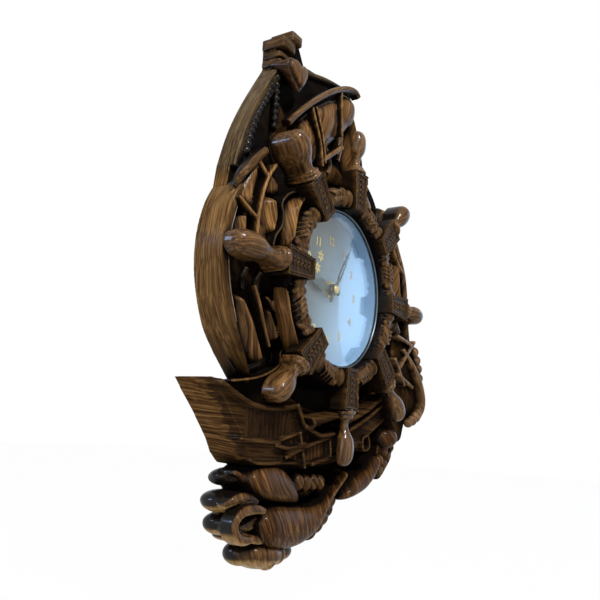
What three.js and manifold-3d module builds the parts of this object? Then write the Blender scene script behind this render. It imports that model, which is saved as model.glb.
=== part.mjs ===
// Carved sailing-ship wall clock: a flat-backed oak relief with a ship's wheel in front of it,
// a glazed dial in the wheel and a two-hand quartz movement let into the back.
// Millimetres, +Z up, +X right. The wall is the plane Y = 0 and the carving stands out along -Y,
// so a depth is a distance from the wall. The origin is on the back face, above the movement.
import * as THREE from "three";
import { mergeVertices } from "three/addons/utils/BufferGeometryUtils.js";
import Module from "manifold-3d";

const wasm = await Module();
wasm.setup();

// Clearances
const CARVING_GAP = 0.3;
const FIT_GAP = 0.3;

// Panel and wheel
const WHEEL_DROP = 70;
const PANEL_THICKNESS = 12;
const RIM_BORE = 64;
const RIM_OUTER = 90;
const RIM_FRONT = 44;
const RIM_ROUND = 5;
const SPOKE_COUNT = 8;
const BLOCK_INNER_LIP = 2;
const BLOCK_OUTER_LIP = 3.4;
const BLOCK_INNER_WIDTH = 15;
const BLOCK_OUTER_WIDTH = 20;
const BLOCK_BACK = 34.3;
const BLOCK_FRONT = 48.6;
const HANDLE_AXIS = 42;
const HANDLE_FLOOR = 21;
const HANDLE_LENGTH = 36.6;
const COLLAR_RADIUS = 7.5;
const NECK_RADIUS = 5;
const BULB_RADIUS = 8.6;

// Carving depths
const SAIL_FRONT = 25;
const SAIL_ROUND = 4;
const EDGE_ROUND = 1.2;
const SPAR_FRONT = 30;
const SPAR_HALF_WIDTH = 3.6;
const CAP_FRONT = 23;
const PULLEY_FRONT = 32;
const SHROUD_RADIUS = 3;
const HULL_FRONT = 36;
const HULL_ROUND = 2;
const WAVE_FRONT = 30;
const WAVE_ROUND = 2;
const CREST_FRONT = 35;
const DOLPHIN_FRONT = 36;
const BODY_ROUND = 3;
const ANCHOR_FRONT = 45;
const ANCHOR_BACK = 36;
const RIGGING_FRONT = 36;

// Dial, glass and bezel
const DIAL_FRONT = 22;
const DIAL_THICKNESS = 0.8;
const DIAL_SIGHT = 60;
const BEZEL_WIDTH = 3.6;
const BEZEL_FRONT = 34;
const BEZEL_LIP = 0.9;
const BEZEL_WALL = 1.3;
const GLASS_THICKNESS = 1.5;
const SPACER_WALL = 1.5;

// Hands
const HOUR_HAND_BACK = 25;
const MINUTE_HAND_BACK = 27;
const HAND_THICKNESS = 0.7;
const HOUR_HAND_LENGTH = 34;
const MINUTE_HAND_LENGTH = 45;
const HOUR_SHOWN = 9;
const MINUTE_SHOWN = 5;
const HAND_CAP_RADIUS = 3.4;
const HAND_CAP_HEIGHT = 2.2;

// Movement
const TRAIN_SPAN = 53;
const CASE_BACK = 2;
const CASE_FRONT = 18.5;
const CASE_WALL = 1.5;
const POCKET_MARGIN = 1;
const BUSH_RADIUS = 4;
const BUSH_END = 24.2;
const NUT_FLAT_RADIUS = 6.5;
const NUT_HEIGHT = 1.9;
const COVER_THICKNESS = 1;
const COVER_BACK = 4.4;
const BATTERY_RADIUS = 7.1;
const BATTERY_LENGTH = 49.5;
const BATTERY_NUB_RADIUS = 2.7;
const BATTERY_NUB = 1;
const CONTACT_THICKNESS = 0.5;
const CONTACT_ROOM = 1.75;
const ARBOR_RADIUS = 0.6;
const MINUTE_ARBOR_RADIUS = 1;
const HOUR_TUBE_WALL = 1.1;
const HOUR_TUBE_RUN = 0.5;
const TRAIN_MODULE = 0.32;
const MOTION_MODULE = 0.5;
const HOUR_MODULE = 0.4;
const ROTOR_MODULE = 0.25;
const CENTRE_TEETH = 60;
const THIRD_PINION_TEETH = 8;
const THIRD_TEETH = 64;
const ROTOR_PINION_TEETH = 8;
const MINUTE_PINION_TEETH = 12;
const MOTION_TEETH = 36;
const MOTION_PINION_TEETH = 12;
const HOUR_TEETH = 48;
const SETTING_TEETH = 12;
const WHEEL_FACE = 0.8;
const PINION_FACE = 1.6;
const THIRD_DEPTH = 6.4;
const CENTRE_DEPTH = 8.6;
const MOTION_DEPTH = 11.2;
const HOUR_DEPTH = 13.8;
const MAGNET_RADIUS = 3;
const MAGNET_HEIGHT = 2.6;
const KNOB_RADIUS = 6;
const KNOB_BACK = 0.8;
const KNOB_HEIGHT = 3.2;
const COIL_RADIUS = 3;
const COIL_LENGTH = 17;
const STATOR_THICKNESS = 0.8;
const BOARD_THICKNESS = 1;

// Hanger
const HANGER_HEIGHT = 118;
const HANGER_LENGTH = 40;
const HANGER_WIDTH = 16;
const HANGER_THICKNESS = 1.5;
const KEYHOLE_ENTRY_RADIUS = 4.8;
const KEYHOLE_SLOT_RADIUS = 2.4;
const KEYHOLE_RISE = 9;
const KEYHOLE_POCKET = 8;
const SCREW_RADIUS = 1.6;
const SCREW_HEAD_RADIUS = 3;
const SCREW_LENGTH = 9;

const CURVE_STEPS = 2;
const ROUND_STEPS = 24;
const QUARTER_TURN = Math.PI / 2;

const oak = new THREE.MeshStandardMaterial({ color: 0x6b4a2c, roughness: 0.45 });
const dark_oak = new THREE.MeshStandardMaterial({ color: 0x33231a, roughness: 0.4 });
const pale_oak = new THREE.MeshStandardMaterial({ color: 0x8a6a42, roughness: 0.5 });
const dial_white = new THREE.MeshStandardMaterial({ color: 0xd5dcdc, roughness: 0.4 });
const clear_glass = new THREE.MeshStandardMaterial({
  color: 0xe8f2f5,
  roughness: 0.03,
  transparent: true,
  opacity: 0.3,
});
const black_gloss = new THREE.MeshStandardMaterial({ color: 0x15161a, roughness: 0.15 });
const silver = new THREE.MeshStandardMaterial({ color: 0xb7babd, roughness: 0.25, metalness: 1 });
const hand_grey = new THREE.MeshStandardMaterial({ color: 0x3c4640, roughness: 0.4, metalness: 0.6 });
const brass = new THREE.MeshStandardMaterial({ color: 0xc8a03c, roughness: 0.3, metalness: 1 });
const steel = new THREE.MeshStandardMaterial({ color: 0x9a9ca0, roughness: 0.3, metalness: 1 });
const black_plastic = new THREE.MeshStandardMaterial({ color: 0x1c1c1e, roughness: 0.6 });
const white_plastic = new THREE.MeshStandardMaterial({ color: 0xd9d7cf, roughness: 0.5 });
const copper = new THREE.MeshStandardMaterial({ color: 0xb4653a, roughness: 0.35, metalness: 1 });
const green_board = new THREE.MeshStandardMaterial({ color: 0x2d5a3a, roughness: 0.5 });
const battery_wrap = new THREE.MeshStandardMaterial({ color: 0x6d7478, roughness: 0.35, metalness: 0.5 });

const clock = new THREE.Group();
clock.position.z = -WHEEL_DROP;

// Solids

function solidOf(geometry) {
  const bare = geometry.clone();
  bare.deleteAttribute("normal");
  bare.deleteAttribute("uv");
  const merged = mergeVertices(bare, 1e-4);
  const all = merged.index.array;
  const kept = [];
  for (let i = 0; i < all.length; i += 3) {
    const [a, b, c] = [all[i], all[i + 1], all[i + 2]];
    if (a !== b && b !== c && c !== a) kept.push(a, b, c);
  }
  const mesh = new wasm.Mesh({
    numProp: 3,
    vertProperties: merged.attributes.position.array,
    triVerts: new Uint32Array(kept),
  });
  return new wasm.Manifold(mesh);
}

function place(name, solid, material) {
  const made = solid.getMesh();
  const geometry = new THREE.BufferGeometry();
  geometry.setAttribute("position", new THREE.BufferAttribute(made.vertProperties, 3));
  geometry.setIndex(new THREE.BufferAttribute(made.triVerts, 1));
  const mesh = new THREE.Mesh(geometry, material);
  mesh.name = name;
  clock.add(mesh);
}

// Outlines are drawn in the front view: X across and Z up, as pairs of numbers.

function pairs(...numbers) {
  const points = [];
  for (let i = 0; i < numbers.length; i += 2) points.push(new THREE.Vector2(numbers[i], numbers[i + 1]));
  return points;
}

function smoothLoop(...numbers) {
  const through = pairs(...numbers).map((p) => new THREE.Vector3(p.x, p.y, 0));
  const curve = new THREE.CatmullRomCurve3(through, true);
  const loop = curve.getPoints(through.length * CURVE_STEPS).map((p) => new THREE.Vector2(p.x, p.y));
  loop.pop();
  return loop;
}

function circle(radius, x = 0, z = 0, steps = ROUND_STEPS) {
  const corner = (_, k) => {
    const turn = (2 * Math.PI * k) / steps;
    return new THREE.Vector2(x + radius * Math.cos(turn), z + radius * Math.sin(turn));
  };
  return Array.from({ length: steps }, corner);
}

function rectangle(width, height, x = 0, z = 0) {
  const [w, h] = [width / 2, height / 2];
  return pairs(x - w, z - h, x + w, z - h, x + w, z + h, x - w, z + h);
}

function turned(points, angle, x = 0, z = 0) {
  const pivot = new THREE.Vector2(0, 0);
  return points.map((p) => p.clone().rotateAround(pivot, angle).add(new THREE.Vector2(x, z)));
}

function grown(points, by) {
  const anticlockwise = THREE.ShapeUtils.isClockWise(points) ? [...points].reverse() : points;
  const count = anticlockwise.length;
  return anticlockwise.map((p, k) => {
    const before = anticlockwise[(k + count - 1) % count];
    const after = anticlockwise[(k + 1) % count];
    const along = after.clone().sub(before).normalize();
    return new THREE.Vector2(p.x + along.y * by, p.y - along.x * by);
  });
}

// A straight-walled piece of an outline, between two depths.
function slab(points, back, front) {
  const geometry = new THREE.ExtrudeGeometry(new THREE.Shape(points), {
    depth: front - back,
    bevelEnabled: false,
  });
  geometry.translate(0, 0, back);
  geometry.rotateX(QUARTER_TURN);
  return solidOf(geometry);
}

// A carved piece: straight walls from the back, and a front edge rounded over.
function carved(points, back, front, round) {
  const geometry = new THREE.ExtrudeGeometry(new THREE.Shape(points), {
    depth: front - back - round,
    bevelThickness: round,
    bevelSize: round,
    bevelOffset: -round,
    bevelSegments: 2,
  });
  geometry.translate(0, 0, back);
  geometry.rotateX(QUARTER_TURN);
  const reach = 4 * HANDLE_END;
  const behind = slab(rectangle(reach, reach), back - 2 * round, back);
  return solidOf(geometry).subtract(behind);
}

// A carved piece that stands on the panel.
function relief(points, front, round) {
  return carved(points, PANEL_THICKNESS, front, round);
}

// A turned piece on an axis square to the wall: its profile is pairs of radius and depth.
function lathed(profile, x = 0, z = 0, steps = ROUND_STEPS) {
  const geometry = new THREE.LatheGeometry(profile, steps);
  geometry.rotateX(Math.PI);
  return solidOf(geometry).translate([x, 0, z]);
}

// A turned piece that lies across the clock: its profile is pairs of radius and distance along X.
function turnedAcross(profile, depth, z, steps = ROUND_STEPS) {
  const geometry = new THREE.LatheGeometry(profile, steps);
  geometry.rotateZ(-QUARTER_TURN);
  return solidOf(geometry).translate([0, -depth, z]);
}

function disc(radius, back, front, x = 0, z = 0, steps = ROUND_STEPS) {
  return slab(circle(radius, x, z, steps), back, front);
}

function tube(bore, outer, back, front, x = 0, z = 0, steps = ROUND_STEPS) {
  return disc(outer, back, front, x, z, steps).subtract(disc(bore, back - 1, front + 1, x, z, steps));
}

function cut(solid, ...tools) {
  return tools.reduce((left, tool) => left.subtract(tool), solid);
}

function joined(...solids) {
  return solids.reduce((whole, solid) => whole.add(solid));
}

// The outline of a bar along a line through points of the front view.
function barOutline(line, halfWidth) {
  const path = new THREE.SplineCurve(line).getPoints(line.length * CURVE_STEPS);
  const side = (sign) => (p, k) => {
    const before = path[Math.max(k - 1, 0)];
    const after = path[Math.min(k + 1, path.length - 1)];
    const along = after.clone().sub(before).normalize();
    return new THREE.Vector2(p.x - sign * along.y * halfWidth, p.y + sign * along.x * halfWidth);
  };
  return [...path.map(side(-1)), ...path.map(side(1)).reverse()];
}

// Ship's wheel: a turned rim, and spokes whose keystone blocks are let into it.
// A spoke is drawn at twelve o'clock and turned clockwise to its place.

const BLOCK_INNER = RIM_BORE - BLOCK_INNER_LIP;
const BLOCK_OUTER = RIM_OUTER + BLOCK_OUTER_LIP;
const HANDLE_END = BLOCK_OUTER + HANDLE_LENGTH;
const blockOutline = pairs(
  -BLOCK_INNER_WIDTH / 2, BLOCK_INNER,
  BLOCK_INNER_WIDTH / 2, BLOCK_INNER,
  BLOCK_OUTER_WIDTH / 2, BLOCK_OUTER,
  -BLOCK_OUTER_WIDTH / 2, BLOCK_OUTER,
);
const BLOCK_FRAME = 2.2;
const BLOCK_RECESS = 1.4;
const COLLAR_LENGTH = 4;
const HANDLE_ROOT = BLOCK_OUTER - 1;
const bulbAt = (share) => THREE.MathUtils.lerp(BLOCK_OUTER + COLLAR_LENGTH, HANDLE_END, share);
const handleProfile = pairs(
  0, HANDLE_ROOT,
  COLLAR_RADIUS, HANDLE_ROOT,
  COLLAR_RADIUS, BLOCK_OUTER + COLLAR_LENGTH,
  NECK_RADIUS, bulbAt(0.1),
  NECK_RADIUS, bulbAt(0.25),
  (NECK_RADIUS + BULB_RADIUS) / 2, bulbAt(0.45),
  BULB_RADIUS, bulbAt(0.66),
  BULB_RADIUS * 0.9, bulbAt(0.83),
  BULB_RADIUS * 0.5, bulbAt(0.96),
  0, HANDLE_END,
);
const handleEdge = handleProfile.slice(1, -1);
const handleOutline = [
  ...handleEdge,
  ...handleEdge.map((p) => new THREE.Vector2(-p.x, p.y)).reverse(),
];
const HANDLE_STEPS = 12;
const SKIRT_INSET = 0.15;
const CLEAR_OF_ALL = 2 * BLOCK_FRONT;

function spokeSolid(angle) {
  const geometry = new THREE.LatheGeometry(handleProfile, HANDLE_STEPS);
  geometry.rotateX(QUARTER_TURN);
  geometry.translate(0, -HANDLE_AXIS, 0);
  geometry.rotateY(angle);
  const block = carved(turned(blockOutline, -angle), BLOCK_BACK, BLOCK_FRONT, 1);
  const recess = turned(grown(blockOutline, -BLOCK_FRAME), -angle);
  const framed = cut(block, slab(recess, BLOCK_FRONT - BLOCK_RECESS, CLEAR_OF_ALL));
  const skirt = slab(turned(grown(handleOutline, -SKIRT_INSET), -angle), HANDLE_FLOOR, HANDLE_AXIS);
  return joined(framed, solidOf(geometry), skirt);
}

const spokeAngles = Array.from({ length: SPOKE_COUNT }, (_, k) => (2 * Math.PI * k) / SPOKE_COUNT);
const blockSeats = spokeAngles.map((angle) =>
  slab(turned(grown(blockOutline, CARVING_GAP), -angle), BLOCK_BACK - CARVING_GAP, CLEAR_OF_ALL),
);
const handleRoom = spokeAngles.map((angle) =>
  slab(turned(grown(handleOutline, CARVING_GAP), -angle), HANDLE_FLOOR - CARVING_GAP, CLEAR_OF_ALL),
);
const rimSection = pairs(
  RIM_BORE, PANEL_THICKNESS,
  RIM_OUTER, PANEL_THICKNESS,
  RIM_OUTER, RIM_FRONT - RIM_ROUND,
  RIM_OUTER - RIM_ROUND / 2, RIM_FRONT - RIM_ROUND / 4,
  RIM_OUTER - RIM_ROUND, RIM_FRONT,
  RIM_BORE + RIM_ROUND, RIM_FRONT,
  RIM_BORE, RIM_FRONT - RIM_ROUND,
  RIM_BORE, PANEL_THICKNESS,
);
const RIM_STEPS = 48;
place("wheel_rim", cut(lathed(rimSection, 0, 0, RIM_STEPS), ...blockSeats), oak);
spokeAngles.forEach((angle, k) => place(`spoke_${k + 1}`, spokeSolid(angle), oak));
const wheelRoom = disc(RIM_OUTER + CARVING_GAP, 0, CLEAR_OF_ALL, 0, 0, RIM_STEPS);
const underWheel = [wheelRoom, ...handleRoom];

// Back panel: the left side runs down the two bellied sails, the stern and the waves.

const upperSailEdge = pairs(-122, 46, -120, 63, -112, 90, -99, 119, -78, 156);
const lowerSailEdge = pairs(
  -88, -80, -107, -64, -120, -48, -129, -28,
  -133.5, -8, -133.5, 12, -129, 32, -122, 46,
);
const starboardEdge = pairs(
  46, 165, 55, 140, 68, 121, 90, 106, 111, 80,
  126, 45, 134, 5, 142, -28, 153, -45, 155, -68,
);
const topEdge = pairs(-78, 156, -79, 176, -69, 178, -69, 188, -48, 188, -40, 176, 36, 188);
const wavesEdge = pairs(
  -98, -133, -92, -137, -108, -137, -113, -142, -108, -148, -118, -156, -116, -170, -107, -181,
  -93, -186, -88, -197, -51, -204, -25, -195, -14, -187, 3, -176, 14, -165, 27, -163,
  64, -156, 79, -145, 99, -130, 113, -117, 126, -99,
);
const panelOutline = new THREE.Shape(topEdge)
  .splineThru(starboardEdge)
  .lineTo(141, -92)
  .lineTo(126, -99)
  .splineThru([...wavesEdge].reverse())
  .lineTo(-124, -101)
  .lineTo(-141, -82)
  .lineTo(-88, -80)
  .splineThru(lowerSailEdge.slice(1))
  .splineThru(upperSailEdge.slice(1, -1))
  .getPoints(CURVE_STEPS);
const CASE_INNER = Math.max(TRAIN_SPAN, BATTERY_LENGTH + 2 * CONTACT_ROOM);
const CASE_SIDE = CASE_INNER + 2 * CASE_WALL;
const POCKET_SIDE = CASE_SIDE + 2 * POCKET_MARGIN;
const movementPocket = slab(rectangle(POCKET_SIDE, POCKET_SIDE), -1, CASE_FRONT + FIT_GAP);

// Hanger: a keyhole plate let in flush with the back, held by two countersunk screws.

const HANGER_X = -10;
const screwHeights = [1, -1].map((side) => HANGER_HEIGHT + side * (HANGER_LENGTH / 2 - HANGER_WIDTH / 4));
const plateOutline = rectangle(HANGER_WIDTH, HANGER_LENGTH, HANGER_X, HANGER_HEIGHT);
const entryHeight = HANGER_HEIGHT - KEYHOLE_RISE / 2;
const slotHeight = entryHeight + KEYHOLE_RISE;

function keyhole(margin, back, front) {
  const rise = rectangle(2 * (KEYHOLE_SLOT_RADIUS + margin), KEYHOLE_RISE, HANGER_X, HANGER_HEIGHT);
  const entry = disc(KEYHOLE_ENTRY_RADIUS + margin, back, front, HANGER_X, entryHeight);
  const slot = disc(KEYHOLE_SLOT_RADIUS + margin, back, front, HANGER_X, slotHeight);
  return joined(entry, slot, slab(rise, back, front));
}

function screwProfile(margin) {
  const head = SCREW_HEAD_RADIUS + margin;
  const shank = SCREW_RADIUS + margin;
  const tip = SCREW_LENGTH + margin;
  return pairs(0, -margin, head, -margin, shank, HANGER_THICKNESS, shank, tip, 0, tip);
}

const SCREW_STEPS = 12;
const screwHoles = screwHeights.map((z) => lathed(screwProfile(FIT_GAP), HANGER_X, z, SCREW_STEPS));
const headWay = KEYHOLE_ENTRY_RADIUS - KEYHOLE_SLOT_RADIUS;
const panelCuts = [
  movementPocket,
  slab(grown(plateOutline, FIT_GAP), -1, HANGER_THICKNESS),
  keyhole(headWay, -1, KEYHOLE_POCKET),
  ...screwHoles,
];
place("back_panel", cut(slab(panelOutline, 0, PANEL_THICKNESS), ...panelCuts), pale_oak);
const hangerPlate = slab(plateOutline, 0, HANGER_THICKNESS);
place("hanger_plate", cut(hangerPlate, keyhole(0, -1, KEYHOLE_POCKET), ...screwHoles), steel);
screwHeights.forEach((z, k) =>
  place(`hanger_screw_${k + 1}`, lathed(screwProfile(0), HANGER_X, z, SCREW_STEPS), steel),
);

// Carving: each piece stands on the panel and is cut clear of the wheel and of what lies over it.

const topYard = barOutline(pairs(-78, 110, -48, 136, -8, 166, 22, 176), SPAR_HALF_WIDTH);
const mainYard = barOutline(pairs(-128, 42, -117, 59, -101, 76), SPAR_HALF_WIDTH);
const yardRoom = [topYard, mainYard].map((line) => slab(grown(line, CARVING_GAP), 0, CLEAR_OF_ALL));
const topsail = smoothLoop(
  -68, 114, -50, 130, -30, 147, -8, 163, 12, 172, 28, 172, 33, 158,
  28, 141, 14, 124, -12, 108, -30, 97, -48, 92, -64, 98,
);
const lobeSail = new THREE.Shape(lowerSailEdge)
  .lineTo(-101, 76)
  .lineTo(-84, 84)
  .lineTo(-50, 60)
  .lineTo(-50, -60)
  .lineTo(-64, -74)
  .getPoints(CURVE_STEPS);
const starboardSail = new THREE.Shape(pairs(37, 108, 37, 156, 45, 156))
  .splineThru(pairs(54, 134, 68, 115, 88, 102, 107, 77, 121, 44, 129, 8, 130, -14))
  .lineTo(90, -16)
  .lineTo(82, 0)
  .lineTo(60, 56)
  .getPoints(CURVE_STEPS);
const halfHeight = 2 * HANDLE_END;
const halfCentre = (halfHeight + CARVING_GAP) / 2;
const aboveHandle = slab(rectangle(2 * halfHeight, halfHeight, 0, halfCentre), 0, CLEAR_OF_ALL);
const belowHandle = slab(rectangle(2 * halfHeight, halfHeight, 0, -halfCentre), 0, CLEAR_OF_ALL);
const lobe = cut(relief(lobeSail, SAIL_FRONT, SAIL_ROUND), ...underWheel, ...yardRoom);
place("topsail", cut(relief(topsail, SAIL_FRONT, SAIL_ROUND), ...underWheel, ...yardRoom), oak);
place("foresail", lobe.intersect(aboveHandle), oak);
place("mainsail", lobe.intersect(belowHandle), oak);
place("starboard_sail", cut(relief(starboardSail, SAIL_FRONT, SAIL_ROUND / 2), ...underWheel), oak);
place("topsail_yard", cut(relief(topYard, SPAR_FRONT, EDGE_ROUND), ...underWheel), oak);
place("main_yard", cut(relief(mainYard, SPAR_FRONT, EDGE_ROUND), ...underWheel), oak);

const mastCap = pairs(
  -79, 159, -79, 176, -69, 178, -69, 188, -52, 188,
  -46, 178, -46, 164, -58, 163, -66, 159,
);
const pulley = smoothLoop(-88, 150, -78, 155, -66, 157, -58, 154, -59, 147, -63, 137, -73, 139, -83, 144);
const outerShroud = barOutline(pairs(-86, 133, -97, 112, -106, 90, -109, 78), SHROUD_RADIUS);
const innerShroud = barOutline(pairs(-78, 135, -77, 127, -78, 112), SHROUD_RADIUS);
const shroudFront = PANEL_THICKNESS + 2 * SHROUD_RADIUS;
const pulleyRoom = slab(grown(pulley, CARVING_GAP), 0, CLEAR_OF_ALL);
place("mast_cap", cut(relief(mastCap, CAP_FRONT, EDGE_ROUND), pulleyRoom), oak);
place("pulley_block", relief(pulley, PULLEY_FRONT, SAIL_ROUND / 2), oak);
place("outer_shroud", cut(relief(outerShroud, shroudFront, EDGE_ROUND), ...yardRoom), dark_oak);
place("inner_shroud", cut(relief(innerShroud, shroudFront, EDGE_ROUND), pulleyRoom, ...yardRoom), dark_oak);

const hull = pairs(
  -141, -82, -110, -91, -90, -97, -53, -96, -44, -110, 0, -112, 30, -103, 60, -90, 95, -76, 122, -66,
  112, -84, 84, -97, 50, -118, 20, -130, -10, -134, -60, -135, -95, -134, -108, -119, -124, -101,
);
const crest = smoothLoop(
  -97, -144, -88, -139, -75, -138, -57, -139, -47, -145,
  -39, -154, -49, -158, -67, -157, -87, -152,
);
const leftDolphin = smoothLoop(
  -82, -173, -76, -166, -63, -163, -39, -164, -14, -163, 4, -148, 17, -141,
  10, -158, 0, -172, -14, -184, -36, -187, -57, -185, -76, -180,
);
const rightDolphin = smoothLoop(
  24, -160, 35, -147, 50, -141, 66, -136, 74, -127,
  80, -131, 76, -144, 64, -154, 42, -159,
);
const rightCrest = smoothLoop(70, -114, 80, -106, 95, -104, 107, -112, 99, -123, 80, -124);
const scrolls = smoothLoop(
  -107, -139, -111, -143, -107, -149, -116, -156, -114, -170, -106, -179,
  -93, -183, -86, -176, -82, -163, -90, -154, -99, -146,
);
const baseWave = smoothLoop(
  -89, -189, -86, -195, -68, -199, -51, -202, -28, -195,
  -40, -191, -62, -189, -78, -186,
);
const crestRoom = slab(grown(crest, CARVING_GAP), 0, CLEAR_OF_ALL);
const dolphinRoom = slab(grown(leftDolphin, CARVING_GAP), 0, CLEAR_OF_ALL);
const hullRoom = slab(grown(hull, CARVING_GAP), 0, CLEAR_OF_ALL);
const scrollRoom = slab(grown(scrolls, CARVING_GAP), 0, CLEAR_OF_ALL);
place("hull", cut(relief(hull, HULL_FRONT, HULL_ROUND), ...underWheel), oak);
place("wave_crest", cut(relief(crest, CREST_FRONT, BODY_ROUND), hullRoom), oak);
place("left_dolphin", cut(relief(leftDolphin, DOLPHIN_FRONT, BODY_ROUND), crestRoom, hullRoom), oak);
place("right_dolphin", cut(relief(rightDolphin, DOLPHIN_FRONT, WAVE_ROUND), dolphinRoom, hullRoom), oak);
place("right_crest", cut(relief(rightCrest, CREST_FRONT, BODY_ROUND), hullRoom), oak);
place("wave_scrolls", cut(relief(scrolls, WAVE_FRONT, WAVE_ROUND), crestRoom, dolphinRoom, hullRoom), oak);
place("base_wave", cut(relief(baseWave, WAVE_FRONT, WAVE_ROUND / 2), dolphinRoom, scrollRoom), oak);

const ANCHOR_HALF_WIDTH = 4.5;
const CABLE_HALF_WIDTH = 5;
const STAY_HALF_WIDTH = 2.4;
const anchorLine = barOutline(pairs(116, -44, 129, -62, 137, -76, 133, -89, 120, -95), ANCHOR_HALF_WIDTH);
const cableLine = barOutline(pairs(136, -32, 143, -44, 147, -56, 149, -68), CABLE_HALF_WIDTH);
const stays = [
  pairs(97, -21, 112, -42),
  pairs(99, -52, 129, -24),
  pairs(101, -26, 131, -33),
].map((line) => relief(barOutline(line, STAY_HALF_WIDTH), RIGGING_FRONT, EDGE_ROUND));
const anchorRoom = slab(grown(anchorLine, CARVING_GAP), 0, CLEAR_OF_ALL);
const cableRoom = slab(grown(cableLine, CARVING_GAP), 0, CLEAR_OF_ALL);
place("anchor", cut(relief(anchorLine, ANCHOR_FRONT, EDGE_ROUND), hullRoom, ...underWheel), oak);
place("anchor_cable", cut(relief(cableLine, ANCHOR_BACK, EDGE_ROUND), anchorRoom), oak);
place("bow_stays", cut(joined(...stays), anchorRoom, cableRoom, hullRoom, ...underWheel), oak);

// Dial: a backing disc in the wheel's bore carries the dial, a spacer, the glass and the bezel.

const DIAL_STEPS = 48;
const BEZEL_OUTER = DIAL_SIGHT + BEZEL_WIDTH;
const BEZEL_BORE = BEZEL_OUTER - BEZEL_WALL;
const LIP_BACK = BEZEL_FRONT - BEZEL_LIP;
const GLASS_BACK = LIP_BACK - GLASS_THICKNESS;
const GLASS_RADIUS = BEZEL_BORE - FIT_GAP;
const DIAL_BACK = DIAL_FRONT - DIAL_THICKNESS;
const BUSH_HOLE = BUSH_RADIUS + FIT_GAP;
const bushWay = disc(BUSH_HOLE, 0, CLEAR_OF_ALL);
const backing = disc(RIM_BORE - FIT_GAP, PANEL_THICKNESS, DIAL_BACK, 0, 0, DIAL_STEPS);
place("dial_backing", cut(backing, movementPocket, bushWay), dark_oak);
place("dial_plate", cut(disc(BEZEL_OUTER, DIAL_BACK, DIAL_FRONT, 0, 0, DIAL_STEPS), bushWay), dial_white);
const spacerBore = GLASS_RADIUS - SPACER_WALL;
place("spacer_ring", tube(spacerBore, GLASS_RADIUS, DIAL_FRONT, GLASS_BACK, 0, 0, DIAL_STEPS), silver);
place("dial_glass", disc(GLASS_RADIUS, GLASS_BACK, LIP_BACK, 0, 0, DIAL_STEPS), clear_glass);
const bezelSection = pairs(
  BEZEL_BORE, DIAL_FRONT,
  BEZEL_OUTER, DIAL_FRONT,
  BEZEL_OUTER, BEZEL_FRONT,
  DIAL_SIGHT, BEZEL_FRONT,
  DIAL_SIGHT, LIP_BACK,
  BEZEL_BORE, LIP_BACK,
  BEZEL_BORE, DIAL_FRONT,
);
place("bezel_ring", lathed(bezelSection, 0, 0, DIAL_STEPS), black_gloss);

// Hands: drawn at twelve o'clock as half outlines from tail to tip, mirrored and turned to the time.

const HOUR_TUBE_BORE = MINUTE_ARBOR_RADIUS + HOUR_TUBE_RUN;
const HOUR_TUBE_OUTER = HOUR_TUBE_BORE + HOUR_TUBE_WALL;
const minuteAngle = (2 * Math.PI * MINUTE_SHOWN) / 60;
const hourAngle = (2 * Math.PI * (HOUR_SHOWN + MINUTE_SHOWN / 60)) / 12;

function mirroredOutline(half) {
  return [...half, ...half.slice(1, -1).map((p) => new THREE.Vector2(-p.x, p.y)).reverse()];
}

const hourHalf = pairs(
  0, -11, 2.6, -9.6, 3, -7.5, 1.4, -5.2, 4, -3.4, 5, 0, 4, 3.4, 1.4, 6,
  1.4, 9, 3.2, 11, 5.2, 16, 4.2, 21, 2, 25, 2.8, 27, 0.9, 30, 0, HOUR_HAND_LENGTH,
);
const minuteHalf = pairs(
  0, -13, 2, -11, 2, -9, 1.2, -6, 3, -3, 4, 0, 3, 3, 1.2, 6,
  1.2, 9, 2.2, 12, 2.2, 28, 1.2, 32, 1.8, 35, 0.7, 38, 0, MINUTE_HAND_LENGTH,
);
const SLIT_WIDTH = 2;
const SLIT_LENGTH = 14;
const SLIT_CENTRE = 20;
const slit = turned(rectangle(SLIT_WIDTH, SLIT_LENGTH, 0, SLIT_CENTRE), -minuteAngle);
const hourFront = HOUR_HAND_BACK + HAND_THICKNESS;
const hourBlade = slab(turned(mirroredOutline(hourHalf), -hourAngle), HOUR_HAND_BACK, hourFront);
const minuteFront = MINUTE_HAND_BACK + HAND_THICKNESS;
const minuteBlade = slab(turned(mirroredOutline(minuteHalf), -minuteAngle), MINUTE_HAND_BACK, minuteFront);
place("hour_hand", cut(hourBlade, disc(HOUR_TUBE_OUTER + FIT_GAP, 0, CLEAR_OF_ALL)), hand_grey);
const arborWay = disc(MINUTE_ARBOR_RADIUS + FIT_GAP, 0, CLEAR_OF_ALL);
place("minute_hand", cut(minuteBlade, arborWay, slab(slit, 0, CLEAR_OF_ALL)), hand_grey);
const capBack = minuteFront + FIT_GAP;
const capProfile = pairs(
  0, capBack,
  HAND_CAP_RADIUS, capBack,
  HAND_CAP_RADIUS, capBack + HAND_CAP_HEIGHT * 0.4,
  HAND_CAP_RADIUS * 0.7, capBack + HAND_CAP_HEIGHT * 0.85,
  0, capBack + HAND_CAP_HEIGHT,
);
place("hand_cap", lathed(capProfile), brass);

// Movement: a case behind the dial, held by its bush and a nut, with the battery bay along its foot.

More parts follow.
